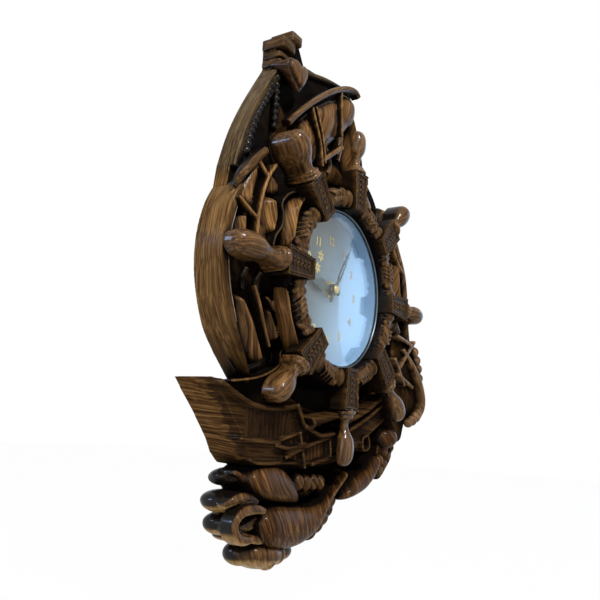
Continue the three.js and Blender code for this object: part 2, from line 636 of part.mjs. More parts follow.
const CASE_FLOOR = CASE_FRONT - CASE_WALL;
const BAY_HEIGHT = 2 * BATTERY_RADIUS + 2 * FIT_GAP;
const bayBottom = -CASE_INNER / 2;
const bayTop = bayBottom + BAY_HEIGHT;
const batteryHeight = (bayBottom + bayTop) / 2;
const BUSH_BORE = HOUR_TUBE_OUTER + FIT_GAP;
const trainHeight = CASE_INNER - BAY_HEIGHT - CASE_WALL;
const trainCentre = CASE_INNER / 2 - trainHeight / 2;
const caseSolid = joined(
  slab(rectangle(CASE_SIDE, CASE_SIDE), CASE_BACK, CASE_FRONT),
  disc(BUSH_RADIUS, CASE_FLOOR, BUSH_END),
);
const trainRoom = slab(rectangle(CASE_INNER, trainHeight, 0, trainCentre), 0, CASE_FLOOR);
const batteryBay = slab(rectangle(CASE_INNER, BAY_HEIGHT, 0, batteryHeight), 0, CASE_FLOOR);
const bushBore = disc(BUSH_BORE, 0, CLEAR_OF_ALL);
place("movement_case", cut(caseSolid, trainRoom, batteryBay, bushBore), black_plastic);
const nutOutline = circle(NUT_FLAT_RADIUS / Math.cos(Math.PI / 6), 0, 0, 6);
place("fixing_nut", cut(slab(nutOutline, DIAL_FRONT, DIAL_FRONT + NUT_HEIGHT), bushWay), brass);

const batteryDepth = CASE_FLOOR - FIT_GAP - BATTERY_RADIUS;
const batteryEnd = BATTERY_LENGTH / 2;
const batteryProfile = pairs(
  0, -batteryEnd,
  BATTERY_RADIUS, -batteryEnd,
  BATTERY_RADIUS, batteryEnd - BATTERY_NUB,
  BATTERY_NUB_RADIUS, batteryEnd - BATTERY_NUB,
  BATTERY_NUB_RADIUS, batteryEnd,
  0, batteryEnd,
);
place("battery", turnedAcross(batteryProfile, batteryDepth, batteryHeight), battery_wrap);
const contactX = (CASE_INNER / 2 + batteryEnd) / 2;
const contactDrop = batteryDepth - BATTERY_RADIUS;
for (const [name, side] of [["plus_contact", 1], ["minus_contact", -1]]) {
  const strip = rectangle(CONTACT_THICKNESS, BAY_HEIGHT - 2 * FIT_GAP, side * contactX, batteryHeight);
  place(name, slab(strip, contactDrop, CASE_FLOOR - FIT_GAP), steel);
}

// Gear train: a tooth has its root, flanks and tip as shares of the pitch. The phase of each gear
// puts a tooth of one in a gap of the other on the line between their arbors.

const TOOTH_ROOT_SHARE = 0.3;
const TOOTH_TIP_SHARE = 0.11;
const ADDENDUM = 0.9;
const DEDENDUM = 1.15;

function gear(teeth, module, phase, back, front, at) {
  const pitchRadius = (teeth * module) / 2;
  const tip = pitchRadius + ADDENDUM * module;
  const root = pitchRadius - DEDENDUM * module;
  const pitch = (2 * Math.PI) / teeth;
  const shares = [
    [root, -TOOTH_ROOT_SHARE],
    [tip, -TOOTH_TIP_SHARE],
    [tip, TOOTH_TIP_SHARE],
    [root, TOOTH_ROOT_SHARE],
  ];
  const points = [];
  for (let k = 0; k < teeth; k++) {
    for (const [radius, share] of shares) {
      const angle = phase + (k + share) * pitch;
      points.push(new THREE.Vector2(at.x + radius * Math.cos(angle), at.y + radius * Math.sin(angle)));
    }
  }
  return slab(points, back, front);
}

function meshedPhase(from, fromTeeth, fromPhase, to, toTeeth) {
  const towards = Math.atan2(to.y - from.y, to.x - from.x);
  const share = ((fromPhase - towards) * fromTeeth) / (2 * Math.PI);
  return towards + Math.PI + ((0.5 - share) * 2 * Math.PI) / toTeeth;
}

function arborAt(from, angle, teeth, module) {
  const reach = (teeth * module) / 2;
  return new THREE.Vector2(from.x + reach * Math.cos(angle), from.y + reach * Math.sin(angle));
}

const arborBack = COVER_BACK + COVER_THICKNESS + FIT_GAP;
const arborFront = CASE_FLOOR - FIT_GAP;
const pinionLap = (PINION_FACE - WHEEL_FACE) / 2;
const ARBOR_STEPS = 10;
const arbor = (at, radius = ARBOR_RADIUS) => disc(radius, arborBack, arborFront, at.x, at.y, ARBOR_STEPS);
const wheelFace = (depth) => [depth, depth + WHEEL_FACE];
const pinionFace = (depth) => [depth - pinionLap, depth + WHEEL_FACE + pinionLap];

const THIRD_BEARING = (150 * Math.PI) / 180;
const ROTOR_BEARING = (60 * Math.PI) / 180;
const MOTION_BEARING = (20 * Math.PI) / 180;
const SETTING_BEARING = (60 * Math.PI) / 180;
const centreAt = new THREE.Vector2(0, 0);
const thirdAt = arborAt(centreAt, THIRD_BEARING, CENTRE_TEETH + THIRD_PINION_TEETH, TRAIN_MODULE);
const rotorAt = arborAt(thirdAt, ROTOR_BEARING, THIRD_TEETH + ROTOR_PINION_TEETH, ROTOR_MODULE);
const motionAt = arborAt(centreAt, MOTION_BEARING, MINUTE_PINION_TEETH + MOTION_TEETH, MOTION_MODULE);
const settingAt = arborAt(motionAt, SETTING_BEARING, MOTION_TEETH + SETTING_TEETH, MOTION_MODULE);

const thirdPinionPhase = THIRD_BEARING + Math.PI;
const centrePhase = meshedPhase(thirdAt, THIRD_PINION_TEETH, thirdPinionPhase, centreAt, CENTRE_TEETH);
const rotorPhase = ROTOR_BEARING + Math.PI;
const thirdPhase = meshedPhase(rotorAt, ROTOR_PINION_TEETH, rotorPhase, thirdAt, THIRD_TEETH);
const minutePinionPhase = MOTION_BEARING;
const motionPhase = meshedPhase(centreAt, MINUTE_PINION_TEETH, minutePinionPhase, motionAt, MOTION_TEETH);
const motionPinionPhase = MOTION_BEARING + Math.PI;
const hourPhase = meshedPhase(motionAt, MOTION_PINION_TEETH, motionPinionPhase, centreAt, HOUR_TEETH);
const settingPhase = meshedPhase(motionAt, MOTION_TEETH, motionPhase, settingAt, SETTING_TEETH);

place(
  "centre_wheel",
  joined(
    gear(CENTRE_TEETH, TRAIN_MODULE, centrePhase, ...wheelFace(CENTRE_DEPTH), centreAt),
    gear(MINUTE_PINION_TEETH, MOTION_MODULE, minutePinionPhase, ...pinionFace(MOTION_DEPTH), centreAt),
    disc(MINUTE_ARBOR_RADIUS, arborBack, minuteFront, 0, 0, ARBOR_STEPS),
  ),
  brass,
);
place(
  "third_wheel",
  joined(
    gear(THIRD_TEETH, ROTOR_MODULE, thirdPhase, ...wheelFace(THIRD_DEPTH), thirdAt),
    gear(THIRD_PINION_TEETH, TRAIN_MODULE, thirdPinionPhase, ...pinionFace(CENTRE_DEPTH), thirdAt),
    arbor(thirdAt),
  ),
  white_plastic,
);
const magnetBack = MOTION_DEPTH - (MAGNET_HEIGHT - WHEEL_FACE) / 2;
place(
  "rotor",
  joined(
    gear(ROTOR_PINION_TEETH, ROTOR_MODULE, rotorPhase, ...pinionFace(THIRD_DEPTH), rotorAt),
    disc(MAGNET_RADIUS, magnetBack, magnetBack + MAGNET_HEIGHT, rotorAt.x, rotorAt.y),
    arbor(rotorAt),
  ),
  steel,
);
place(
  "motion_wheel",
  joined(
    gear(MOTION_TEETH, MOTION_MODULE, motionPhase, ...wheelFace(MOTION_DEPTH), motionAt),
    gear(MOTION_PINION_TEETH, HOUR_MODULE, motionPinionPhase, ...pinionFace(HOUR_DEPTH), motionAt),
    arbor(motionAt),
  ),
  white_plastic,
);
place(
  "hour_wheel",
  cut(
    joined(
      gear(HOUR_TEETH, HOUR_MODULE, hourPhase, ...wheelFace(HOUR_DEPTH), centreAt),
      disc(HOUR_TUBE_OUTER, HOUR_DEPTH, hourFront),
    ),
    disc(HOUR_TUBE_BORE, 0, CLEAR_OF_ALL),
  ),
  white_plastic,
);
const SETTING_SHAFT_RADIUS = 1.3;
place(
  "setting_knob",
  joined(
    disc(KNOB_RADIUS, KNOB_BACK, KNOB_BACK + KNOB_HEIGHT, settingAt.x, settingAt.y),
    disc(SETTING_SHAFT_RADIUS, KNOB_BACK, arborFront, settingAt.x, settingAt.y, ARBOR_STEPS),
    gear(SETTING_TEETH, MOTION_MODULE, settingPhase, ...pinionFace(MOTION_DEPTH), settingAt),
  ),
  black_plastic,
);

// Motor and board: the stator plate reaches from the rotor into the coil at the top of the case.

const STATOR_ARM = 2;
const COIL_BORE_MARGIN = 0.5;
const coilHeight = CASE_INNER / 2 - COIL_RADIUS - 1;
const coilStart = rotorAt.x + MAGNET_RADIUS * 3;
const coilMiddle = coilStart + COIL_LENGTH / 2;
const statorBack = MOTION_DEPTH;
const statorFront = statorBack + STATOR_THICKNESS;
const coilDepth = (statorBack + statorFront) / 2;
const polePiece = circle(2 * MAGNET_RADIUS, rotorAt.x, rotorAt.y);
const armLength = coilStart + COIL_LENGTH + STATOR_ARM - rotorAt.x;
const arm = rectangle(armLength, STATOR_ARM, rotorAt.x + armLength / 2, coilHeight);
const legHeight = coilHeight + STATOR_ARM / 2 - rotorAt.y;
const leg = rectangle(2 * MAGNET_RADIUS, legHeight, rotorAt.x, rotorAt.y + legHeight / 2);
const rotorHole = disc(MAGNET_RADIUS + FIT_GAP, 0, CLEAR_OF_ALL, rotorAt.x, rotorAt.y);
const statorPlate = joined(...[polePiece, leg, arm].map((part) => slab(part, statorBack, statorFront)));
place("stator", cut(statorPlate, rotorHole), steel);
const coilBore = Math.hypot(STATOR_ARM, STATOR_THICKNESS) / 2 + COIL_BORE_MARGIN;
const coilEnd = COIL_LENGTH / 2;
const coilProfile = pairs(
  coilBore, -coilEnd,
  COIL_RADIUS, -coilEnd,
  COIL_RADIUS, coilEnd,
  coilBore, coilEnd,
  coilBore, -coilEnd,
);
place("coil", turnedAcross(coilProfile, coilDepth, coilHeight).translate([coilMiddle, 0, 0]), copper);
const BOARD_WIDTH = 11;
const BOARD_HEIGHT = 30;
const boardX = -CASE_INNER / 2 + FIT_GAP + BOARD_WIDTH / 2;
const boardFront = CASE_FLOOR - FIT_GAP;
const board = rectangle(BOARD_WIDTH, BOARD_HEIGHT, boardX, trainCentre);
place("circuit_board", slab(board, boardFront - BOARD_THICKNESS, boardFront), green_board);
const coverOutline = rectangle(CASE_INNER - 2 * FIT_GAP, trainHeight - 2 * FIT_GAP, 0, trainCentre);
const shaftHole = disc(SETTING_SHAFT_RADIUS + FIT_GAP, 0, CLEAR_OF_ALL, settingAt.x, settingAt.y);
const coverPlate = slab(coverOutline, COVER_BACK, COVER_BACK + COVER_THICKNESS);
place("movement_cover", cut(coverPlate, shaftHole), black_plastic);

export default clock;
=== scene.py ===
import math

import bmesh
import bpy
from mathutils import Matrix, Vector


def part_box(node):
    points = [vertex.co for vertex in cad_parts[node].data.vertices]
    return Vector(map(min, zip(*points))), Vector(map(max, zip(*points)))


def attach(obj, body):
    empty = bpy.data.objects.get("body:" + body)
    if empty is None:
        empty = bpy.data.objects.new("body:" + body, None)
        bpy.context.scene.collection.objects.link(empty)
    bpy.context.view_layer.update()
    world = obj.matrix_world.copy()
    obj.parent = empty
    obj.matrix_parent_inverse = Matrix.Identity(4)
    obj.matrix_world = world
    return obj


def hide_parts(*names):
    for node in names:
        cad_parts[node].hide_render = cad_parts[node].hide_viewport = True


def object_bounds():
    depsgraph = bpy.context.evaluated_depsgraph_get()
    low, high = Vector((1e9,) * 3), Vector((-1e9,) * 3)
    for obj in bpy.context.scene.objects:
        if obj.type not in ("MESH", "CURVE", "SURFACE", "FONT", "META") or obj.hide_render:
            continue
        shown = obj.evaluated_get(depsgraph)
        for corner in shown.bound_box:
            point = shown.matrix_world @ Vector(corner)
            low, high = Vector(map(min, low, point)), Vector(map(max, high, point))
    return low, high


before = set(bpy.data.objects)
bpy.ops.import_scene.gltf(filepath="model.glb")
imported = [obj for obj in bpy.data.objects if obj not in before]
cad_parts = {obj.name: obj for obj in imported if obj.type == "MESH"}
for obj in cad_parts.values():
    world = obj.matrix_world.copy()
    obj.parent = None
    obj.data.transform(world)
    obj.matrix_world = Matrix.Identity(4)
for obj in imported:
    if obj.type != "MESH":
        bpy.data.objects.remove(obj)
cad_low, cad_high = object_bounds()

# The studio: a plain pale floor below the hanging clock and a white surround. A small warm key lamp stands
# above the camera, a cool one behind on the left and a blue window on the right show in lacquer and glass,
# and two weak fills open the shadows. The camera stands where the photograph was taken from.
MM = .001
glass_low, glass_high = (Vector(corner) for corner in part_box("dial_glass"))
WHEEL = (glass_low + glass_high) / 2
FLOOR_DROP = .03
FLOOR_SIZE = 3
FLOOR_GLOW = .985
CAMERA_PLACE = (-.4531, -.2963, -.1843)
CAMERA_AZIMUTH = math.radians(-56.443)
CAMERA_RISE = math.radians(-11.224)
CAMERA_ROLL = math.radians(3.463)
CAMERA_LENS = 41.15
WHITE = (1, 1, 1, 1)
SURROUND_SHADE = (.075, .073, .07, 1)


def add_node(tree, kind, inputs=None, **settings):
    """Adds a shader node, sets its properties and fills or links its inputs."""
    made = tree.nodes.new(kind)
    for name, value in settings.items():
        setattr(made, name, value)
    for socket, value in (inputs or {}).items():
        if isinstance(value, bpy.types.NodeSocket):
            tree.links.new(value, made.inputs[socket])
        else:
            made.inputs[socket].default_value = value
    return made


def maths(tree, operation, first, second=0.0, third=0.0, **settings):
    """Works out a value from sockets or numbers and gives its socket."""
    return add_node(tree, "ShaderNodeMath", {0: first, 1: second, 2: third}, operation=operation,
                    **settings).outputs[0]


def colour_mix(tree, factor, first, second, blend="MIX"):
    """Mixes two colours and gives the mixed colour's socket."""
    return add_node(tree, "ShaderNodeMix", {0: factor, 6: first, 7: second},
                    data_type="RGBA", blend_type=blend).outputs[2]


def shown_directly(tree):
    """One where the camera, a reflection or a look through glass meets the surround."""
    rays = add_node(tree, "ShaderNodeLightPath").outputs
    seen = maths(tree, "MAXIMUM", rays["Is Camera Ray"], rays["Is Glossy Ray"])
    return maths(tree, "MAXIMUM", seen, rays["Is Transmission Ray"])


world = bpy.data.worlds.new("studio")
bpy.context.scene.world = world
world.use_nodes = True
surround = world.node_tree
surround.nodes["Background"].inputs["Strength"].default_value = 1
surround.links.new(colour_mix(surround, shown_directly(surround), SURROUND_SHADE, WHITE),
                   surround.nodes["Background"].inputs["Color"])

floor_mesh = bmesh.new()
bmesh.ops.create_grid(floor_mesh, x_segments=8, y_segments=8, size=FLOOR_SIZE,
                      matrix=Matrix.Translation((0, 0, cad_low[2] - FLOOR_DROP)))
floor_data = bpy.data.meshes.new("studio_floor")
floor_mesh.to_mesh(floor_data)
floor_mesh.free()
floor = bpy.data.objects.new("studio_floor", floor_data)
bpy.context.collection.objects.link(floor)
floor_look = bpy.data.materials.new("studio_floor")
floor_look.use_nodes = True
floor_tree = floor_look.node_tree
floor_grain = add_node(floor_tree, "ShaderNodeTexNoise", {"Scale": 6, "Detail": 3})
floor_paper = add_node(floor_tree, "ShaderNodeBsdfDiffuse", {
    "Color": colour_mix(floor_tree, floor_grain.outputs[0], (.88, .88, .87, 1), (.93, .93, .92, 1))})
floor_light = add_node(floor_tree, "ShaderNodeEmission", {"Color": WHITE})
floor_mix = add_node(floor_tree, "ShaderNodeMixShader", {
    0: maths(floor_tree, "MULTIPLY", shown_directly(floor_tree), FLOOR_GLOW),
    1: floor_paper.outputs[0], 2: floor_light.outputs[0]})
floor_tree.links.new(floor_mix.outputs[0], floor_tree.nodes["Material Output"].inputs["Surface"])
floor_data.materials.append(floor_look)

for lamp_name, lamp_way, lamp_away, lamp_size, lamp_power, lamp_tone in (
        ("key_lamp", (-.36, -.58, .73), .95, .16, 11, (1, .95, .87)),
        ("window_lamp", (-.80, .52, .30), .9, .17, 2.4, (.42, .62, 1)),
        ("side_fill", (-.95, -.25, .2), 1.3, 1, 5.5, (1, .90, .74)),
        ("room_window", (.96, -.175, .17), 1.75, 1.25, 8, (.26, .58, 1)),
        ("front_fill", (.1, -.9, .1), 1.3, .8, 2, (1, .95, .88))):
    lamp_data = bpy.data.lights.new(lamp_name, "AREA")
    lamp_data.shape = "DISK"
    lamp_data.size = lamp_size
    lamp_data.energy = lamp_power
    lamp_data.color = lamp_tone
    lamp = bpy.data.objects.new(lamp_name, lamp_data)
    bpy.context.collection.objects.link(lamp)
    lamp_from = Vector(lamp_way).normalized()
    lamp.location = WHEEL + lamp_from * lamp_away
    lamp.rotation_euler = lamp_from.to_track_quat("Z", "Y").to_euler()

camera_data = bpy.data.cameras.new("photo_camera")
camera_data.lens = CAMERA_LENS
camera_data.sensor_width = 36
camera = bpy.data.objects.new("photo_camera", camera_data)
bpy.context.collection.objects.link(camera)
camera_back = Vector((math.sin(CAMERA_AZIMUTH) * math.cos(CAMERA_RISE),
                      -math.cos(CAMERA_AZIMUTH) * math.cos(CAMERA_RISE), math.sin(CAMERA_RISE)))
camera_right = Vector((math.cos(CAMERA_AZIMUTH), math.sin(CAMERA_AZIMUTH), 0))
camera_up = camera_back.cross(camera_right)
turned_right = camera_right * math.cos(CAMERA_ROLL) + camera_up * math.sin(CAMERA_ROLL)
turned_up = camera_up * math.cos(CAMERA_ROLL) - camera_right * math.sin(CAMERA_ROLL)
camera_turn = Matrix((turned_right, turned_up, camera_back)).transposed()
camera.matrix_world = Matrix.Translation(CAMERA_PLACE) @ camera_turn.to_4x4()
bpy.context.scene.camera = camera
bpy.context.scene.view_settings.view_transform = "Standard"

# The back panel: a 12 mm oak board sawn to the outline of ship and sea, with a square through pocket for
# the movement and a recess for the hanger. Its edge is sanded to bare wood, its face is stained black.
PANEL_FRONT = 12
PANEL_TOP = [(-78, 156), (-79, 176), (-69, 178), (-69, 188), (-48, 188), (-40, 176), (36, 188)]
PANEL_STARBOARD = [(46, 165), (55, 140), (68, 121), (90, 106), (111, 80), (126, 45), (134, 5), (142, -28),
                   (153, -45), (155, -68), (141, -92), (126, -99)]
PANEL_WAVES = [(113, -117), (99, -130), (79, -145), (64, -156), (27, -163), (14, -165), (3, -176),
               (-14, -187), (-30, -194), (-48, -198), (-64, -195), (-74, -185), (-86, -180), (-92, -170),
               (-93, -156), (-88, -146), (-86, -138), (-92, -134)]
PANEL_STERN = [(-124, -101), (-141, -82), (-88, -80)]
LOWER_LOBE = [(-107, -64), (-120, -48), (-129, -28), (-133.5, -8), (-133.5, 12), (-129, 32), (-122, 46)]
UPPER_LOBE = [(-120, 63), (-112, 90), (-99, 119), (-78, 156)]
POCKET_HALF = 28.6
HANGER_POCKET = (-18.4, -1.6, 97.6, 138.4)
HANGER_POCKET_DEPTH = 8
WAVE_INSET = 4
EDGE_INSET = .8
PALE_OAK = (.26, .145, .054, 1)
BROWN_OAK = (.105, .053, .0185, 1)
DARK_OAK = (.026, .0125, .005, 1)
CLOUDED_OAK = (.60, .54, .48, 1)
PLANED_DARK = (.13, .07, .022, 1)
PLANED_PALE = (.42, .26, .09, 1)
# The black of the stain, which is also the colour of the painted shade in nooks and creases.
STAIN_AND_SHADE = (.0036, .0028, .0027, 1)
EDGE_PALE = (.36, .215, .085, 1)
EDGE_BROWN = (.15, .081, .029, 1)
PORE_STRENGTH = .6
BARE_ROUGHNESS = .36
STAINED_ROUGHNESS = .24
LACQUER_ROUGHNESS = .12
POOLED_COAT = .3
NOOK_REACH = .013
RAG_DEPTH = .022
WALL_FADE = .008
NO_STAIN = {"low": -.002, "high": -.001}


def at(x, z, depth):
    """A place on the clock from millimetres right of and above the wheel's centre and out from the wall."""
    return Vector((WHEEL.x + x * MM, -depth * MM, WHEEL.z + z * MM))


def flowing(points, steps, closed=False):
    """A smooth line through points of any number of values."""
    count = len(points)
    line = []
    for i in range(count if closed else count - 1):
        near = [points[(i + k) % count] if closed else points[min(max(i + k, 0), count - 1)]
                for k in (-1, 0, 1, 2)]
        for step in range(steps):
            t = step / steps
            line.append(tuple(
                b + t / 2 * (c - a + t * (2 * a - 5 * b + 4 * c - d + t * (3 * (b - c) + d - a)))
                for a, b, c, d in zip(*near)))
    return line if closed else line + [tuple(points[-1])]


def finished(forms, name, look, nodes=(), body="carving", smooth=True):
    """Makes the piece's object, gives it its material and puts it on its body."""
    bmesh.ops.recalc_face_normals(forms, faces=forms.faces)
    data = bpy.data.meshes.new(name)
    forms.to_mesh(data)
    forms.free()
    piece = bpy.data.objects.new(name, data)
    bpy.context.collection.objects.link(piece)
    for polygon in data.polygons:
        polygon.use_smooth = smooth
    data.materials.append(look)
    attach(piece, body)
    if nodes:
        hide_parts(*nodes)
    return piece


def object_place(tree):
    """Where a point lies in the clock's own frame."""
    return add_node(tree, "ShaderNodeTexCoord").outputs["Object"]


def parted(tree, vector):
    """The three values of a place or a direction."""
    return add_node(tree, "ShaderNodeSeparateXYZ", {0: vector}).outputs


def stretched(tree, place, scale):
    """A place with its three values scaled, for a pattern that is longer one way."""
    return add_node(tree, "ShaderNodeVectorMath", {0: place, 1: scale}, operation="MULTIPLY").outputs[0]


def noise(tree, place, scale, detail, **more):
    """A cloudy pattern: its value is the first output, its colours the second."""
    return add_node(tree, "ShaderNodeTexNoise", {"Vector": place, "Scale": scale, "Detail": detail,
                                                 **more}).outputs


def spread(tree, value, low, high, least=0.0, most=1.0, easing="LINEAR"):
    """Turns a stretch of a value into a share from the least to the most."""
    return add_node(tree, "ShaderNodeMapRange", {
        "Value": value, "From Min": low, "From Max": high, "To Min": least, "To Max": most},
        interpolation_type=easing).outputs[0]


def effect(name, inputs, outputs):
    """A node group with named sockets, and the sockets that bring its inputs."""
    group = bpy.data.node_groups.new(name, "ShaderNodeTree")
    for socket in inputs:
        kind = "NodeSocketVector" if socket == "Vector" else "NodeSocketFloat"
        group.interface.new_socket(socket, in_out="INPUT", socket_type=kind)
    for socket in outputs:
        group.interface.new_socket(socket, in_out="OUTPUT", socket_type="NodeSocketFloat")
    return group, add_node(group, "NodeGroupInput").outputs


oak_figure, figure_inputs = effect("oak_figure", ["Vector"], ["Figure", "Pores", "Cloud"])
figure_sway = noise(oak_figure, figure_inputs["Vector"], 22, 1)["Color"]
figure_warp = add_node(oak_figure, "ShaderNodeVectorMath", {
    0: figure_sway, 1: (.012, .008, .012), 2: figure_inputs["Vector"]}, operation="MULTIPLY_ADD").outputs[0]
figure_rings = add_node(oak_figure, "ShaderNodeTexWave", {
    "Vector": figure_warp, "Scale": 80, "Distortion": 5, "Detail": 3, "Detail Scale": .3,
    "Detail Roughness": .6}, wave_type="BANDS", bands_direction="X", wave_profile="SAW").outputs["Fac"]
figure_streaks = noise(oak_figure, stretched(oak_figure, figure_warp, (680, 740, 13)), 1, 4,
                       Roughness=.6, Distortion=.2)[0]
figure_sum = add_node(oak_figure, "ShaderNodeMix", {
    0: .1, 2: spread(oak_figure, figure_streaks, .32, .72), 3: figure_rings}, data_type="FLOAT").outputs[0]
figure_fibres = noise(oak_figure, stretched(oak_figure, figure_warp, (1300, 1300, 50)), 1, 2)[0]
add_node(oak_figure, "NodeGroupOutput", {
    "Figure": figure_sum, "Pores": spread(oak_figure, figure_fibres, .54, .70),
    "Cloud": noise(oak_figure, figure_inputs["Vector"], 30, 3)[0]})

# The stain mask: black stain on walls, faces and the sunk field, and from the occlusion a darkening of
# nooks and creases that is partly real stain and partly painted shade.
stain_and_shade, stain_inputs = effect("stain_and_shade", ["Wall", "Face", "Low", "High", "Rub", "Under", "Fore"],
                                    ["Stain and Shade", "Wear", "Bare", "Lacquer"])
stain_surface = add_node(stain_and_shade, "ShaderNodeNewGeometry").outputs
stain_right, stain_back, stain_up = parted(stain_and_shade, stain_surface["Normal"])
stain_out = maths(stain_and_shade, "MULTIPLY", parted(stain_and_shade, object_place(stain_and_shade))[1], -1)
stain_upright = spread(stain_and_shade, maths(stain_and_shade, "ABSOLUTE", stain_back), .62, .12,
                       easing="SMOOTHSTEP")
stain_reach = spread(stain_and_shade, maths(stain_and_shade, "SUBTRACT", stain_out, stain_inputs["High"]),
                     WALL_FADE, 0, most=stain_inputs["Wall"])
stain_wall = maths(stain_and_shade, "MULTIPLY", stain_upright, stain_reach)
stain_face = maths(stain_and_shade, "MULTIPLY", spread(stain_and_shade, stain_back, -.5, -.9),
                   stain_inputs["Face"])
stain_rags = noise(stain_and_shade, stretched(stain_and_shade, object_place(stain_and_shade), (90, 90, 620)), 1,
                   3)[0]
stain_fore = spread(stain_and_shade, maths(stain_and_shade, "MULTIPLY_ADD", stain_rags, RAG_DEPTH, stain_out),
                    .0345, .036, most=stain_inputs["Fore"])
stain_front = maths(stain_and_shade, "MAXIMUM", stain_face, stain_fore)
stain_deep = spread(stain_and_shade, stain_out, stain_inputs["High"], stain_inputs["Low"], easing="SMOOTHSTEP")
stain_most = maths(stain_and_shade, "MAXIMUM", maths(stain_and_shade, "MAXIMUM", stain_wall, stain_front),
                   stain_deep)
# Painted shade, in part: the occlusion darkens nooks and creases, where real stain also gathers.
stain_shade = add_node(stain_and_shade, "ShaderNodeAmbientOcclusion", {"Distance": NOOK_REACH}, samples=8)
nook_stain_and_shade = spread(stain_and_shade, stain_shade.outputs["AO"], .88, .38)
stain_and_shade_sum = maths(stain_and_shade, "ADD", stain_most, nook_stain_and_shade, use_clamp=True)
stain_wear = spread(stain_and_shade, stain_surface["Pointiness"], .515, .60)
stain_reached = spread(stain_and_shade, stain_back, -.1, -.45, most=stain_inputs["Rub"])
stain_bare = spread(stain_and_shade, stain_up, -.38, -.66, most=stain_inputs["Under"])
stain_and_shade_left = maths(stain_and_shade, "MULTIPLY", stain_and_shade_sum, maths(stain_and_shade, "SUBTRACT", 1, stain_bare))
stain_pool = maths(stain_and_shade, "MULTIPLY", stain_and_shade_left, spread(stain_and_shade, stain_right, -.8, -.95))
add_node(stain_and_shade, "NodeGroupOutput", {
    "Stain and Shade": stain_and_shade_left, "Wear": maths(stain_and_shade, "MULTIPLY", stain_wear, stain_reached),
    "Bare": stain_bare, "Lacquer": stain_pool})


def new_look(name):
    """A new material, its node tree and its shader's inputs."""
    look = bpy.data.materials.new(name)
    look.use_nodes = True
    return look, look.node_tree, look.node_tree.nodes["Principled BSDF"].inputs


def oak(name, lean=0.0, turn=None, stretch=(1, .1, 1), wall=1.0, face=0.0, low=.012, high=.023,
        pale=PALE_OAK, brown=BROWN_OAK, dark=DARK_OAK, cover=.985, rub=.6, under=0.0, fore=0.0, gloss=.05,
        coat=.015):
    """Lacquered oak: streaked grain and pores, with black stain left on the walls and in the recesses and
    painted shade in its nooks and creases. The grain runs upright, leans by some degrees, or takes a full
    turn."""
    look, tree, shader = new_look(name)
    turned = add_node(tree, "ShaderNodeMapping", {
        "Vector": object_place(tree), "Rotation": turn or (0, math.radians(lean), 0)}).outputs[0]
    figure = add_node(tree, "ShaderNodeGroup", node_tree=oak_figure)
    tree.links.new(stretched(tree, turned, stretch), figure.inputs["Vector"])
    stain = add_node(tree, "ShaderNodeGroup", node_tree=stain_and_shade)
    for socket, value in (("Wall", wall), ("Face", face), ("Low", low), ("High", high), ("Rub", rub),
                          ("Under", under), ("Fore", fore)):
        stain.inputs[socket].default_value = value
    tones = add_node(tree, "ShaderNodeValToRGB", {0: figure.outputs["Figure"]})
    tones.color_ramp.elements[0].position = .1
    tones.color_ramp.elements[0].color = dark
    tones.color_ramp.elements[1].position = .98
    tones.color_ramp.elements[1].color = pale
    tones.color_ramp.elements.new(.46).color = brown
    clouded = colour_mix(tree, figure.outputs["Cloud"], tones.outputs[0], CLOUDED_OAK, "MULTIPLY")
    pores = maths(tree, "MULTIPLY", figure.outputs["Pores"], PORE_STRENGTH)
    grained = colour_mix(tree, pores, clouded, dark)
    planed = colour_mix(tree, figure.outputs["Figure"], PLANED_DARK, PLANED_PALE)
    bared = colour_mix(tree, stain.outputs["Bare"], grained, planed)
    rubbed = colour_mix(tree, stain.outputs["Wear"], bared, pale)
    unworn = maths(tree, "SUBTRACT", 1, stain.outputs["Wear"])
    # The share of black: stain, with painted shade from the occlusion, less where the edges are worn.
    stain_and_shade_cover = maths(tree, "MULTIPLY", maths(tree, "MULTIPLY", stain.outputs["Stain and Shade"], cover), unworn)
    tree.links.new(colour_mix(tree, stain_and_shade_cover, rubbed, STAIN_AND_SHADE), shader["Base Color"])
    tree.links.new(spread(tree, stain_and_shade_cover, 0, 1, BARE_ROUGHNESS, STAINED_ROUGHNESS), shader["Roughness"])
    bump = add_node(tree, "ShaderNodeBump", {"Strength": .3, "Distance": .0004,
                                             "Height": figure.outputs["Pores"]}, invert=True)
    tree.links.new(bump.outputs[0], shader["Normal"])
    shader["Specular IOR Level"].default_value = gloss
    tree.links.new(spread(tree, stain.outputs["Lacquer"], 0, 1, coat, max(coat, POOLED_COAT)),
                   shader["Coat Weight"])
    shader["Coat Roughness"].default_value = LACQUER_ROUGHNESS
    return look


def tinted(look, low, high, tone):
    """Multiplies a look by a tone, from none at one height above the wheel's centre to all at another."""
    tree = look.node_tree
    paint = tree.nodes["Principled BSDF"].inputs["Base Color"]
    share = spread(tree, parted(tree, object_place(tree))[2], WHEEL.z + low * MM, WHEEL.z + high * MM)
    tree.links.new(colour_mix(tree, share, paint.links[0].from_socket, tone, "MULTIPLY"), paint)


def weathered(look):
    """Paints a dim cool light on the edge of the upper lobe (a grey-blue tint), and painted shade at the
    foot of the lower one.
    """
    tinted(look, 52, 62, (.56, .69, .95, 1))
    tinted(look, -40, -78, (.45, .42, .40, 1))


def drawn_in(outline, inset):
    """A closed outline with each corner moved inwards by its own amount."""
    moved = []
    for i, (x, z) in enumerate(outline):
        (before_x, before_z), (after_x, after_z) = outline[i - 1], outline[(i + 1) % len(outline)]
        run = Vector((after_x - before_x, after_z - before_z)).normalized()
        moved.append((x + run.y * inset[i], z - run.x * inset[i]))
    return moved


def loop_edges(forms, outline):
    """A closed run of edges on the wall's plane."""
    corners = [forms.verts.new(at(x, z, 0)) for x, z in outline]
    return [forms.edges.new((a, b)) for a, b in zip(corners, corners[1:] + corners[:1])]


